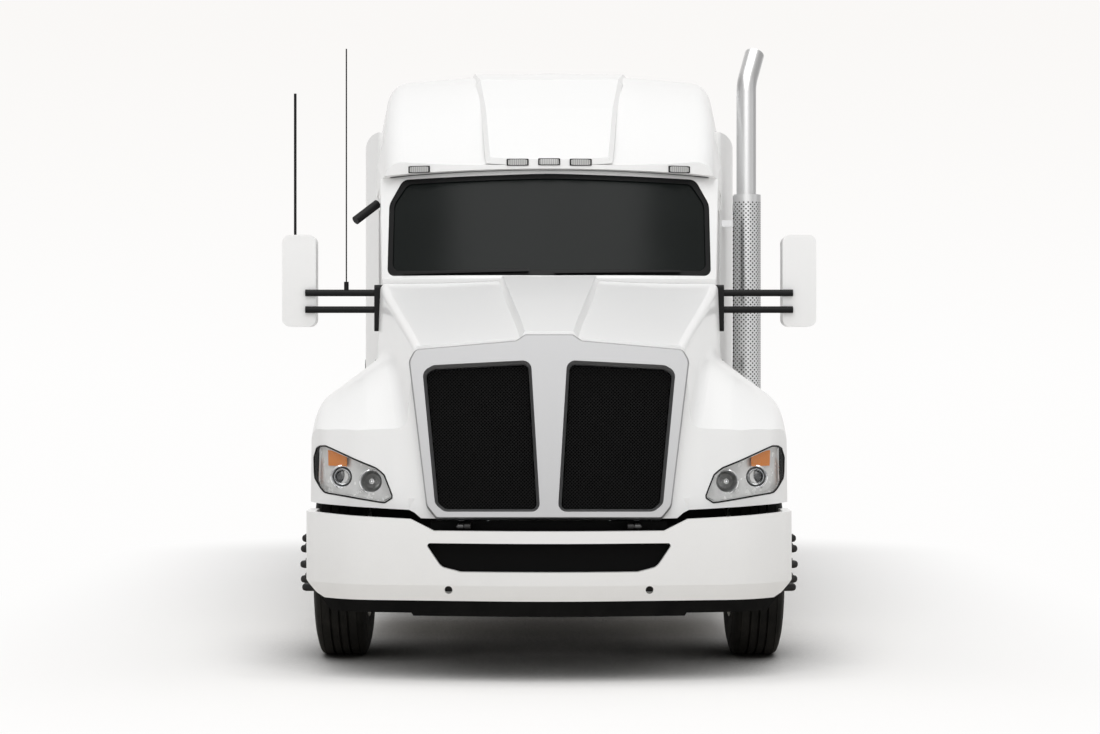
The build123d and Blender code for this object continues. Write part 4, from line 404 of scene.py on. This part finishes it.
def on_front(node, x, z, gap, towards=None):
    """The point of a CAD node's front face at an x and z, moved ahead by a gap; a miss steps towards a point."""
    for step in range(40):
        hit, place, _, _ = nodes[node].ray_cast(Vector((x, -6, z)), Vector((0, 1, 0)))
        if hit or towards is None:
            break
        away = Vector((towards[0] - x, towards[1] - z)).normalized() * 0.002
        x, z = x + away.x, z + away.y
    return Vector((x, (place.y if hit else -3.6) - gap, z))


def trimmed_sheet(build, outline, spacing):
    """A grid in the XZ plane cut to a convex outline."""
    low_x, high_x = min(p[0] for p in outline), max(p[0] for p in outline)
    low_z, high_z = min(p[1] for p in outline), max(p[1] for p in outline)
    centre = Vector(((low_x + high_x) / 2, 0, (low_z + high_z) / 2))
    across, up = high_x - low_x, high_z - low_z
    upright = Matrix.Diagonal((across, 1, up, 1)) @ Matrix.Rotation(math.radians(90), 4, "X")
    bmesh.ops.create_grid(build, x_segments=int(across / spacing), y_segments=int(up / spacing), size=0.5,
                          matrix=Matrix.Translation(centre) @ upright)
    for first, second in zip(outline, outline[1:] + outline[:1]):
        edge = Vector((second[0] - first[0], 0, second[1] - first[1]))
        away = Vector((edge.z, 0, -edge.x))
        if away.dot(centre - Vector((first[0], 0, first[1]))) > 0:
            away = -away
        bmesh.ops.bisect_plane(build, geom=build.verts[:] + build.edges[:] + build.faces[:],
                               plane_co=(first[0], 0, first[1]), plane_no=away, clear_outer=True)


def spun(build, profile, centre, axis, start, steps):
    """A closed profile of (distance along the axis, radius) turned about it, from a start square to the axis."""
    verts = [build.verts.new(centre + axis * along + start * radius) for along, radius in profile]
    edges = [build.edges.new(pair) for pair in zip(verts, verts[1:])]
    edges.append(build.edges.new((verts[-1], verts[0])))
    bmesh.ops.spin(build, geom=verts + edges, cent=centre, axis=axis, dvec=(0, 0, 0), angle=2 * math.pi,
                   steps=steps, use_merge=True)


def make_piece(name, build, made, body, smooth):
    """A finished mesh, smooth up to an angle in degrees, as a piece that rides on a body."""
    bmesh.ops.remove_doubles(build, verts=build.verts, dist=0.00002)
    bmesh.ops.recalc_face_normals(build, faces=build.faces)
    mesh = bpy.data.meshes.new(name)
    build.to_mesh(mesh)
    build.free()
    mesh.materials.append(made)
    mesh.shade_smooth()
    mesh.set_sharp_from_angle(angle=math.radians(smooth))
    piece = bpy.data.objects.new(name, mesh)
    scene.collection.objects.link(piece)
    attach(piece, body)
    return piece


for side, sign in sides:
    lens_edge = [(sign * x, z) for x, z in lamp_edge]
    tray_middle = Vector((sum(p[0] for p in lens_edge), sum(p[1] for p in lens_edge))) / len(lens_edge)
    tray_edge = [tuple(tray_middle + (Vector(p) - tray_middle) * tray_share) for p in lens_edge]
    tray = bmesh.new()
    trimmed_sheet(tray, tray_edge, sheet_spacing)
    for vert in tray.verts:
        vert.co.y = on_front("headlamp_lenses", vert.co.x, vert.co.z, 0, tray_middle).y + tray_depth
    for x, z, radius in (outer_bowl, inner_bowl):
        middles = [(face, face.calc_center_median()) for face in tray.faces]
        cut = [face for face, at in middles if math.hypot(at.x - sign * x, at.z - z) < radius + 0.004]
        bmesh.ops.delete(tray, geom=cut, context="FACES")
    bmesh.ops.solidify(tray, geom=tray.faces[:], thickness=tray_thickness)
    make_piece(f"lamp_tray_{side}", tray, lamp_tray, "hood", 40)
    bright = bmesh.new()
    dark = bmesh.new()
    for x, z, radius in (outer_bowl, inner_bowl):
        mouth = on_front("headlamp_lenses", sign * x, z, -bowl_depth)
        bowl = [(0.016, radius + 0.009), (0.018, radius + 0.005), (0.012, radius), (-0.02, radius - 0.004),
                (-0.045, radius - 0.016), (-0.047, radius - 0.015), (-0.02, radius - 0.001), (0.0, radius + 0.009)]
        spun(bright, bowl, mouth, forward, rightward, 48)
    mouth = on_front("headlamp_lenses", sign * outer_bowl[0], outer_bowl[1], -bowl_depth)
    spun(bright, projector_ring, mouth, forward, rightward, 40)
    spun(dark, projector_lens, mouth, forward, rightward, 40)
    mouth = on_front("headlamp_lenses", sign * inner_bowl[0], inner_bowl[1], -bulb_depth)
    spun(bright, bulb_shape, mouth, forward, rightward, 24)
    make_piece(f"lamp_bowls_{side}", bright, lamp_chrome, "hood", 35)
    make_piece(f"lamp_projector_{side}", dark, projector_glass, "hood", 35)
    for name, outline, behind in (("block", amber_block, 0.03), ("strip", amber_strip, 0.02)):
        sheet = bmesh.new()
        trimmed_sheet(sheet, [(sign * x, z) for x, z in outline], sheet_spacing)
        for vert in sheet.verts:
            vert.co.y = on_front("headlamp_lenses", vert.co.x, vert.co.z, 0, tray_middle).y + behind
        bmesh.ops.solidify(sheet, geom=sheet.faces[:], thickness=amber_thickness)
        make_piece(f"lamp_amber_{name}_{side}", sheet, lamp_amber, "hood", 30)
    gasket = []
    for first, second in zip(lens_edge, lens_edge[1:] + lens_edge[:1]):
        run = Vector(second) - Vector(first)
        steps = max(1, int(run.length / 0.03))
        for k in range(steps):
            inner = tray_middle + (Vector(first) + run * k / steps - tray_middle) * gasket_share
            gasket.append(on_front("headlamp_lenses", inner.x, inner.y, 0.0, tray_middle))
    tubes(f"lamp_gasket_{side}", [gasket], gasket_radius, lamp_rubber, "hood", 2, closed=True)


# Nose seal and intake frames
# A near-black rubber close-out sheet stands behind the bumper's top edge and fills the gap below the hood, partly a
# seal and partly a dark sheet put there as painted shade. Two moulded frames line the recesses of the bumper's
# intake.
def join(build, other):
    """Moves one mesh under construction into another."""
    shape = bpy.data.meshes.new("joined")
    other.to_mesh(shape)
    other.free()
    build.from_mesh(shape)
    bpy.data.meshes.remove(shape)


def rounded_block(build, size, place, radius, segments=3):
    """A block with rounded edges, added to a mesh under construction."""
    block = bmesh.new()
    bmesh.ops.create_cube(block, size=1, matrix=Matrix.Translation(place) @ Matrix.Diagonal((*size, 1)))
    bmesh.ops.bevel(block, geom=block.edges[:], offset=radius, segments=segments, profile=0.5, affect="EDGES",
                    material=-1)
    join(build, block)


seal_size = (1.22, 0.008, 0.056)
seal = bmesh.new()
# The sheet is near black: it seals the gap and also puts painted shade in it, under the hood.
rounded_block(seal, seal_size, (0, -3.93, 0.778), 0.003, segments=2)
make_piece("nose_seal_and_shade", seal, lamp_rubber, "chassis", 40)
recess_rim_radius = 0.004
recess = [(0.405, 0.57), (0.375, 0.60), (0.375, 0.65), (0.405, 0.676), (0.535, 0.676), (0.565, 0.65), (0.565, 0.60),
          (0.535, 0.57)]
recesses = [[(sign * x, -4.07, z) for x, z in recess] for side, sign in sides]
tubes("intake_recesses", recesses, recess_rim_radius, lamp_rubber, "chassis", 1, closed=True)

# Black plastic trim
# Fender liners, the windshield's surround with its wipers, mirror arms and the look-down mirror, moulded in
# a black plastic with a fine grain.
black_plastic, tree, shader = material(
    "black_plastic", ["fender_liners", "windshield_frame", "mirror_arms", "look_down_mirror"], Specular_IOR_Level=0.2)
finish_surface(tree, shader, scale=700, bump=0.0002, dark=(0.003, 0.003, 0.003), pale=(0.008, 0.008, 0.0085),
               rough=(0.42, 0.6), film=0.05, top=0.7)

# Window glass
# Polished sheets with a dark grey-green tint, which let little of the cab show. They are bonded into the
# windshield's surround, the doors and the sleeper's sides.
window_glass, tree, shader = material(
    "window_glass", ["fixed_windows", "door_glass_left", "door_glass_right"], Alpha=0.985, Specular_IOR_Level=0.14)
finish_surface(tree, shader, scale=3, bump=0.0, dark=(0.004, 0.0055, 0.005), pale=(0.007, 0.009, 0.0085),
               rough=(0.2, 0.27), film=0.0)

# Mirror glass
# Silvered glass with a trace of haze, clipped into the back of each mirror housing.
mirror_surface, tree, shader = material("mirror_surface", ["mirror_glass"], Metallic=1.0)
finish_surface(tree, shader, scale=40, bump=0.000004, dark=(0.8, 0.82, 0.84), pale=(0.86, 0.87, 0.88),
               rough=(0.02, 0.06), film=0.0)

# Marker lamps
# Five smoked lenses along the brow of the roof, ribbed on the inside and gently crowned. Each is pressed
# into a dark moulded rim.
marker_places = (-0.79, -0.19, 0, 0.19, 0.79)
brow_height = 2.835
brow_drop = 0.035
marker_seat = 0.004
marker_half_width = 0.062
marker_half_height = 0.017
marker_crown = 0.006
marker_rim_radius = 0.0045
marker_lens, tree, shader = material("marker_lens", [], Coat_Weight=0.5)
finish_surface(tree, shader, scale=60, bump=0.000006, dark=(0.3, 0.3, 0.3), pale=(0.42, 0.42, 0.41),
               rough=(0.12, 0.2), film=0.0)
ribs = add_node(tree, "TexWave", {"Vector": object_place(tree), "Scale": 24.0}, bands_direction="X")
tree.links.new(tinted(tree, ribs.outputs["Fac"], (0.3, 0.3, 0.3), (0.52, 0.52, 0.5)), shader.inputs["Base Color"])
lenses = bmesh.new()
rims = []
for x in marker_places:
    middle = brow_height - brow_drop * (abs(x) / 0.79) ** 2
    rim = []
    for k in range(24):
        angle = 2 * math.pi * (k + 0.5) / 24
        flat_x = x + math.copysign(min(marker_half_width, 0.085 * abs(math.cos(angle)) ** 0.6), math.cos(angle))
        flat_z = middle + math.copysign(min(marker_half_height, 0.022 * abs(math.sin(angle)) ** 0.6), math.sin(angle))
        rim.append(on_front("roof_cap", flat_x, flat_z, marker_seat))
    rims.append(rim)
    lens = bmesh.new()
    trimmed_sheet(lens, [(point.x, point.z) for point in rim], 0.012)
    for vert in lens.verts:
        crown = marker_crown * max(1 - ((vert.co.x - x) / (marker_half_width + 0.002)) ** 4, 0)
        vert.co.y = on_front("roof_cap", vert.co.x, vert.co.z, marker_seat + crown).y
    bmesh.ops.solidify(lens, geom=lens.faces[:], thickness=0.004)
    join(lenses, lens)
piece = make_piece("marker_lenses", lenses, marker_lens, "chassis", 50)
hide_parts("marker_lamps")
tubes("marker_rims", rims, marker_rim_radius, lamp_rubber, "chassis", 1, closed=True)

# Exhaust stack
# A brushed stainless pipe that stands on the truck's left between cab and sleeper. The shield round it is
# punched with staggered round holes up to a plain band at its top.
stack_middle = (1.2695, -0.95, 0)
shield_radius = 0.0885
band_bottom = 2.655
hole_pitch = 16.0
hole_edge = 0.42
hole_colour = (0.05, 0.05, 0.05)
stainless = dict(scale=260, bump=0.00008, dark=(0.67, 0.675, 0.68), pale=(0.81, 0.815, 0.82), rough=(0.24, 0.38),
                 film=0.0)
dimples_group, group_in, group_out = new_group(
    "dimples",
    [("Vector", "NodeSocketVector", (0, 0, 0)), ("Pitch", "NodeSocketFloat", 50.0)],
    [("Value", "NodeSocketFloat")],
)
waves = []
for turn in (45, -45):
    turned = add_node(dimples_group, "Mapping", {
        "Vector": group_in.outputs["Vector"], "Rotation": (0, 0, math.radians(turn))})
    wave = add_node(dimples_group, "TexWave", bands_direction="X", inputs={
        "Vector": turned.outputs["Vector"], "Scale": group_in.outputs["Pitch"]})
    waves.append(wave.outputs["Fac"])
dimples_group.links.new(multiplied(dimples_group, *waves), group_out.inputs["Value"])

stack_chrome, tree, shader = material("stack_chrome", ["exhaust_stack"], Metallic=1.0)
finish_surface(tree, shader, **stainless)
punched_steel, tree, shader = material("punched_steel", ["stack_shield"], Metallic=0.9)
grain, dust = finish_surface(tree, shader, **stainless)
centred = add_node(tree, "VectorMath", {0: object_place(tree), 1: stack_middle}, operation="SUBTRACT")
spot = add_node(tree, "SeparateXYZ", {0: centred.outputs[0]})
angle = add_node(tree, "Math", {0: spot.outputs["Y"], 1: spot.outputs["X"]}, operation="ARCTAN2")
unrolled = add_node(tree, "CombineXYZ", {
    "X": multiplied(tree, angle.outputs[0], shield_radius), "Y": spot.outputs["Z"]})
holes = add_node(tree, "Group", {"Vector": unrolled.outputs[0], "Pitch": hole_pitch}, node_tree=dimples_group)
punched = add_node(tree, "MapRange", {"Value": holes.outputs["Value"], "From Min": hole_edge, "From Max": 0.5})
below_band = add_node(tree, "MapRange", {
    "Value": spot.outputs["Z"], "From Min": band_bottom + 0.005, "From Max": band_bottom})
hole_mask = multiplied(tree, punched.outputs["Result"], below_band.outputs["Result"])
tree.links.new(tinted(tree, hole_mask, dust.outputs["Color"], hole_colour), shader.inputs["Base Color"])

# Tyres
# Matt black rubber with a dusty bloom: rounded sidewalls with bead and rim rings, ribs round the steered
# tyres and staggered blocks on the driven ones. They take the place of the plain tyres.
wheel_height = 0.51
steer_axle_y = -2.92
steer_tyre_x = 1.135
steer_tread_radius = 0.510
steer_grooves = [(-0.095, 0.002, 0.009), (-0.046, 0.006, 0.014), (0.0, 0.006, 0.014), (0.046, 0.006, 0.014),
                 (0.095, 0.002, 0.009)]
drive_axles = (("front", 2.12), ("rear", 3.44))
twin_places = (1.10, 0.765)
drive_tread_radius = 0.497
block_rows = ((-0.089, 0.046, 0.0), (-0.031, 0.05, 0.5), (0.031, 0.05, 0.0), (0.089, 0.046, 0.5))
blocks_round = 42
block_length = 0.058
block_height = 0.0145
block_centre_radius = 0.5017
block_slant = 0.12
tyre_names = [name for name in nodes if name.startswith("tyre")]
tyre_rubber, tree, shader = material("tyre", tyre_names, Specular_IOR_Level=0.2)
finish_surface(tree, shader, scale=260, bump=0.0005, dark=(0.004, 0.004, 0.0038), pale=(0.011, 0.011, 0.0105),
               rough=(0.62, 0.85), film=0.06, top=0.9)


def sidewall(half):
    """One sidewall's section from the bead to the shoulder, with its moulded rings, from millimetre rows."""
    rows = ((24, 286.3), (16, 292), (11, 300), (12.5, 303), (6, 325), (2.2, 350), (0.4, 378), (0, 395), (0.6, 412),
            (2.5, 431), (1.3, 433), (1.3, 441), (3.6, 443), (7, 462), (12, 481), (17, 493), (23, 501))
    return [(half - out / 1000, radius / 1000) for out, radius in rows]


def tyre_section(width, grooves, tread_radius):
    """A whole tyre's section, with grooves of a half width and depth across the tread."""
    half = width / 2
    outer = [(-x, r) for x, r in sidewall(half)]
    tread = [(-half + 0.032, tread_radius - 0.003), (-half + 0.044, tread_radius)]
    for place, half_width, depth in grooves:
        tread += [(place - half_width, tread_radius), (place - half_width * 0.6, tread_radius - depth),
                  (place + half_width * 0.6, tread_radius - depth), (place + half_width, tread_radius)]
    tread += [(half - 0.044, tread_radius), (half - 0.032, tread_radius - 0.003)]
    other = list(reversed(sidewall(half)))
    inner = [(half - 0.052, 0.2863), (half - 0.036, 0.440), (-half + 0.036, 0.440), (-half + 0.052, 0.2863)]
    return outer + tread + other + inner


for side, sign in sides:
    tyre = bmesh.new()
    hub = Vector((sign * steer_tyre_x, steer_axle_y, wheel_height))
    spun(tyre, tyre_section(0.280, steer_grooves, steer_tread_radius), hub, rightward, upward, 128)
    piece = make_piece(f"steer_tyre_{side}", tyre, tyre_rubber, f"wheel_front_{side}", 35)
    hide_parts(f"tyre_front_{side}")

for axle, axle_y in drive_axles:
    for side, sign in sides:
        tyre = bmesh.new()
        for tyre_x in twin_places:
            hub = Vector((sign * tyre_x, axle_y, wheel_height))
            spun(tyre, tyre_section(0.270, [], drive_tread_radius), hub, rightward, upward, 96)
            for row, width, shift in block_rows:
                slant = Matrix.Rotation(block_slant * (1 if row > 0 else -1), 4, "Z")
                for k in range(blocks_round):
                    round_by = Matrix.Rotation(2 * math.pi * (k + shift) / blocks_round, 4, "X")
                    at_row = Matrix.Translation((sign * (tyre_x + row), axle_y, wheel_height))
                    outwards = Matrix.Translation((0, 0, block_centre_radius))
                    block = Matrix.Diagonal((width, block_length, block_height, 1))
                    bmesh.ops.create_cube(tyre, size=1, matrix=at_row @ round_by @ outwards @ slant @ block)
        piece = make_piece(f"drive_tyres_{axle}_{side}", tyre, tyre_rubber, f"wheel_drive_{axle}_{side}", 35)
        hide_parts(f"tyres_drive_{axle}_{side}")

# Stud covers
# Dark rounded plastic caps, pressed over the ten long studs of each steered wheel, as they show beside the
# bumper.
stud_count = 10
stud_circle = 0.1429
cover_foot_x = 1.254
cover_shape = [(0.0, 0.0), (0.0, 0.026), (0.008, 0.026), (0.012, 0.023), (0.1, 0.022), (0.114, 0.018),
               (0.1205, 0.009), (0.122, 0.0)]
cover_plastic, tree, shader = material("stud_cover_plastic", [], Specular_IOR_Level=0.3)
finish_surface(tree, shader, scale=500, bump=0.0002, dark=(0.01, 0.01, 0.011), pale=(0.02, 0.02, 0.021),
               rough=(0.3, 0.45), film=0.08, top=0.9)


def stud_place(x, axle_y, k):
    """The foot of a stud, at its share of a turn round the wheel's centre."""
    angle = 2 * math.pi * k / stud_count
    return Vector((x, axle_y + stud_circle * math.cos(angle), wheel_height + stud_circle * math.sin(angle)))


for side, sign in sides:
    covers = bmesh.new()
    for k in range(stud_count):
        spun(covers, cover_shape, stud_place(sign * cover_foot_x, steer_axle_y, k), sign * rightward, upward, 18)
    make_piece(f"stud_covers_front_{side}", covers, cover_plastic, f"wheel_front_{side}", 40)

# Wheels and nuts
# Machined aluminium discs and hubs. Ten hexagon nuts, each on a round washer, hold the disc of every twin
# pair of drive wheels.
nut_foot_x = 1.0035
washer_shape = [(-0.002, 0.0), (-0.002, 0.022), (0.003, 0.022), (0.004, 0.0)]
nut_shape = [(0.003, 0.0), (0.003, 0.0185), (0.021, 0.0185), (0.025, 0.015), (0.025, 0.0)]
rim_names = [name for name in nodes if name.startswith("rim")]
wheel_aluminium, tree, shader = material("wheel_aluminium", rim_names, Metallic=1.0)
finish_surface(tree, shader, scale=340, bump=0.00008, dark=(0.55, 0.56, 0.57), pale=(0.72, 0.72, 0.73),
               rough=(0.22, 0.38), film=0.15, top=0.9)
for axle, axle_y in drive_axles:
    for side, sign in sides:
        nuts = bmesh.new()
        for k in range(stud_count):
            foot = stud_place(sign * nut_foot_x, axle_y, k + 0.5)
            spun(nuts, washer_shape, foot, sign * rightward, upward, 18)
            spun(nuts, nut_shape, foot, sign * rightward, upward, 6)
        make_piece(f"wheel_nuts_{axle}_{side}", nuts, lamp_chrome, f"wheel_drive_{axle}_{side}", 30)

# Door handles
# A black plastic paddle in a shallow cup, screwed to each door low at its rear edge and turned with the
# door's slope.
door_slope = 0.0946
door_turn = Matrix.Rotation(-math.atan(door_slope), 4, "Z")
handle_place = Matrix.Translation((1.0712, -1.24, 1.62))
for side, sign in sides:
    handle = bmesh.new()
    rounded_block(handle, (0.006, 0.2, 0.085), (0.002, 0, 0), 0.002)
    rounded_block(handle, (0.02, 0.17, 0.03), (0.014, 0, 0.012), 0.008)
    bmesh.ops.transform(handle, verts=handle.verts, matrix=handle_place @ door_turn)
    if sign < 0:
        bmesh.ops.scale(handle, verts=handle.verts, vec=(-1, 1, 1))
    make_piece(f"door_handle_{side}", handle, lamp_rubber, f"door_{side}", 40)

# Sleeper lockers
# The rubber-lined shut line of the luggage door low on each side of the sleeper, and its two flush turning
# latches in bright metal.
sleeper_side = 1.2095
latch_height = 1.2
locker_edge = ((-0.52, 1.14), (0.02, 1.14), (0.05, 1.17), (0.05, 1.62), (0.02, 1.65), (-0.52, 1.65), (-0.55, 1.62),
               (-0.55, 1.17))
latch_shape = [(0.0, 0.0), (0.0, 0.026), (0.004, 0.026), (0.006, 0.022), (0.003, 0.018), (0.003, 0.0)]
locker_line_radius = 0.0022
locker_lines = [[(sign * (sleeper_side + 0.0007), y, z) for y, z in locker_edge] for side, sign in sides]
tubes("locker_lines", locker_lines, locker_line_radius, lamp_rubber, "chassis", 0, closed=True)
latches = bmesh.new()
for side, sign in sides:
    for y in (-0.42, -0.08):
        spun(latches, latch_shape, Vector((sign * sleeper_side, y, latch_height)), sign * rightward, upward, 24)
make_piece("locker_latches", latches, lamp_chrome, "chassis", 35)

# Frame and its bolts
# Rails, axle beam, suspension and fifth wheel base in satin black with dust towards the road. Rows of
# round-headed bolts go through the rails at the crossmembers and at the suspension's brackets.
satin_black = dict(scale=220, bump=0.0003, dark=(0.006, 0.006, 0.0065), pale=(0.018, 0.018, 0.019), rough=(0.4, 0.62),
                   film=0.2)
black_paint, tree, shader = material(
    "black_paint", ["frame_rails", "front_axle", "rear_suspension", "fifth_wheel_base", "radiator"],
    Specular_IOR_Level=0.25)
finish_surface(tree, shader, **satin_black, top=1.2)
bolt_rows = (0.95, 1.05, 1.45, 1.55, 1.85, 1.95, 2.35, 2.45, 2.75, 2.85, 3.15, 3.25, 3.65, 3.75, 4.0)
bolt_heights = (0.83, 0.95)
bolt_shape = [(-0.001, 0.0), (-0.001, 0.013), (0.004, 0.0125), (0.009, 0.007), (0.010, 0.0)]
bolts = bmesh.new()
for side, sign in sides:
    for y in bolt_rows:
        for z in bolt_heights:
            hit, place, _, _ = nodes["frame_rails"].ray_cast(Vector((sign * 0.6, y, z)), -sign * rightward)
            if hit and abs(place.x) > 0.4:
                spun(bolts, bolt_shape, place, sign * rightward, upward, 10)
make_piece("frame_bolts", bolts, black_paint, "chassis", 40)

# Castings
# Axle housings, engine, knuckles and the fifth wheel's plate: rough cast iron, dull and dusty, left as it
# comes from the mould.
cast_metal, tree, shader = material(
    "cast_metal", ["drive_axles", "engine_block", "knuckle_left", "knuckle_right", "fifth_wheel"], Metallic=0.6)
finish_surface(tree, shader, scale=160, bump=0.0012, dark=(0.05, 0.05, 0.052), pale=(0.13, 0.13, 0.13),
               rough=(0.5, 0.75), film=0.3, top=1.3)

# Fuel tanks
# Brushed and slightly dulled aluminium drums, strapped to brackets below the cab and sleeper.
tank_aluminium, tree, shader = material("tank_aluminium", ["fuel_tanks"], Metallic=1.0, Anisotropic=0.5)
finish_surface(tree, shader, scale=320, bump=0.0001, dark=(0.62, 0.63, 0.64), pale=(0.76, 0.77, 0.77),
               rough=(0.22, 0.4), film=0.2, top=0.9)

# Deck plate
# Black tread plate bolted over the rails behind the sleeper, with rolled lozenges whose tops are worn
# bright.
lozenge_pitch = 8.0
lozenge_height = 0.002
worn_steel = (0.12, 0.12, 0.12)
tread_plate, tree, shader = material("tread_plate", ["deck_plate"], Specular_IOR_Level=0.3)
grain, dust = finish_surface(tree, shader, **satin_black, top=1.3)
lozenges = add_node(tree, "Group", {"Vector": object_place(tree), "Pitch": lozenge_pitch}, node_tree=dimples_group)
raised = add_node(tree, "Bump", {
    "Distance": lozenge_height, "Height": lozenges.outputs["Value"], "Normal": grain.outputs["Normal"]})
worn = vary(tree, lozenges.outputs["Value"], 0.0, 0.6)
tree.links.new(raised.outputs["Normal"], shader.inputs["Normal"])
tree.links.new(tinted(tree, worn, dust.outputs["Color"], worn_steel), shader.inputs["Base Color"])

# Rear flaps and lamps
# Dusty ribbed rubber flaps hung behind the last axle, and the red moulded lenses of the tail lamps.
flap_rubber, tree, shader = material("flap_rubber", ["rear_mudflaps"])
finish_surface(tree, shader, scale=300, bump=0.0006, dark=(0.014, 0.014, 0.014), pale=(0.03, 0.03, 0.03),
               rough=(0.6, 0.85), film=0.3, top=0.8)
red_lens, tree, shader = material("red_lens", ["tail_lamps"], Coat_Weight=0.6)
finish_surface(tree, shader, scale=240, bump=0.0006, dark=(0.3, 0.01, 0.01), pale=(0.5, 0.02, 0.02),
               rough=(0.15, 0.3), film=0.1, top=1.2)

# Dashboard and bunk box
# Soft grained grey plastic, on the dashboard, the steering wheel and the box below the bunk.
interior_plastic, tree, shader = material("interior_plastic", ["dashboard", "steering_wheel", "bunk_base"])
finish_surface(tree, shader, scale=620, bump=0.0003, dark=(0.09, 0.09, 0.095), pale=(0.14, 0.14, 0.145),
               rough=(0.55, 0.75), film=0.0)

# Seats
# Two suspension seats in dark woven cloth, each a padded cushion, back and headrest sewn in three channels,
# on a moulded pedestal. They take the place of the plain seats.
seat_x = 0.52
pad_skin = 0.012
swell_frames = 16
seam_half_width = 0.014
seat_fabric, tree, shader = material("seat_fabric", ["seats"], Sheen_Weight=0.3)
finish_surface(tree, shader, scale=900, bump=0.0006, dark=(0.05, 0.05, 0.055), pale=(0.1, 0.1, 0.105),
               rough=(0.8, 0.95), film=0.0)


def soft_pad(size, place, tilt, puff):
    """A padded block, blown up from inside as cloth, with its fabric pulled in along two sewn channels."""
    build = bmesh.new()
    bmesh.ops.create_cube(build, size=1, matrix=Matrix.Diagonal((*(side - pad_skin for side in size), 1)))
    bmesh.ops.bevel(build, geom=build.edges[:], offset=min(size) * 0.3, segments=3, profile=0.5, affect="EDGES",
                    material=-1)
    mesh = bpy.data.meshes.new("pad")
    build.to_mesh(mesh)
    build.free()
    pad = bpy.data.objects.new("pad", mesh)
    scene.collection.objects.link(pad)
    remesh = pad.modifiers.new("skin", "REMESH")
    remesh.mode = "VOXEL"
    remesh.voxel_size = pad_skin
    cloth = pad.modifiers.new("swell", "CLOTH")
    cloth.settings.use_pressure = True
    cloth.settings.uniform_pressure_force = 4
    cloth.settings.effector_weights.gravity = 0
    cloth.settings.quality = 4
    cloth.point_cache.frame_start = 1
    cloth.point_cache.frame_end = swell_frames
    for frame_number in range(1, swell_frames + 1):
        scene.frame_set(frame_number)
    swollen = bpy.data.meshes.new_from_object(pad.evaluated_get(bpy.context.evaluated_depsgraph_get()))
    scene.frame_set(1)
    bpy.data.objects.remove(pad)
    build = bmesh.new()
    build.from_mesh(swollen)
    bpy.data.meshes.remove(swollen)
    for vert in build.verts:
        for axis in range(3):
            reach = size[axis] / 2
            vert.co[axis] = max(-reach, min(reach, vert.co[axis]))
        for seam in (-size[0] * 0.24, size[0] * 0.24):
            near = 1 - abs(vert.co.x - seam) / seam_half_width
            if near > 0:
                vert.co -= vert.normal * puff * near
    bmesh.ops.transform(build, verts=build.verts, matrix=Matrix.Translation(place) @ Matrix.Rotation(tilt, 4, "X"))
    return build


pads = bmesh.new()
for size, place, tilt, puff in (
    ((0.48, 0.47, 0.13), (seat_x, -1.345, 1.595), 0.05, 0.008),
    ((0.46, 0.12, 0.5), (seat_x, -1.082, 1.9), -0.1, 0.008),
    ((0.27, 0.1, 0.15), (seat_x, -1.045, 2.24), -0.1, 0.002),
):
    pad = soft_pad(size, place, tilt, puff)
    other_seat = pad.copy()
    bmesh.ops.scale(other_seat, verts=other_seat.verts, vec=(-1, 1, 1))
    join(pads, pad)
    join(pads, other_seat)
piece = make_piece("seat_pads", pads, seat_fabric, "chassis", 60)
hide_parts("seats")
pedestals = bmesh.new()
for side, sign in sides:
    for size, y, z in (((0.34, 0.36, 0.03), -1.33, 1.276), ((0.24, 0.26, 0.2), -1.33, 1.39),
                       ((0.42, 0.42, 0.04), -1.34, 1.51)):
        rounded_block(pedestals, size, (sign * seat_x, y, z), 0.012)
make_piece("seat_pedestals", pedestals, interior_plastic, "chassis", 40)

# Bunk mattress
# A sprung mattress in a pale woven cover, crowned, with two sewn channels along it. It lies on the bunk's
# box in place of the plain one.
mattress_fabric, tree, shader = material("mattress_fabric", ["bunk_mattress"], Sheen_Weight=0.2)
finish_surface(tree, shader, scale=700, bump=0.0006, dark=(0.42, 0.43, 0.45), pale=(0.56, 0.57, 0.58),
               rough=(0.8, 0.95), film=0.0)
mattress = soft_pad((2.22, 0.745, 0.148), (0, 0.397, 1.675), 0.0, 0.006)
piece = make_piece("mattress", mattress, mattress_fabric, "chassis", 60)
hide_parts("bunk_mattress")
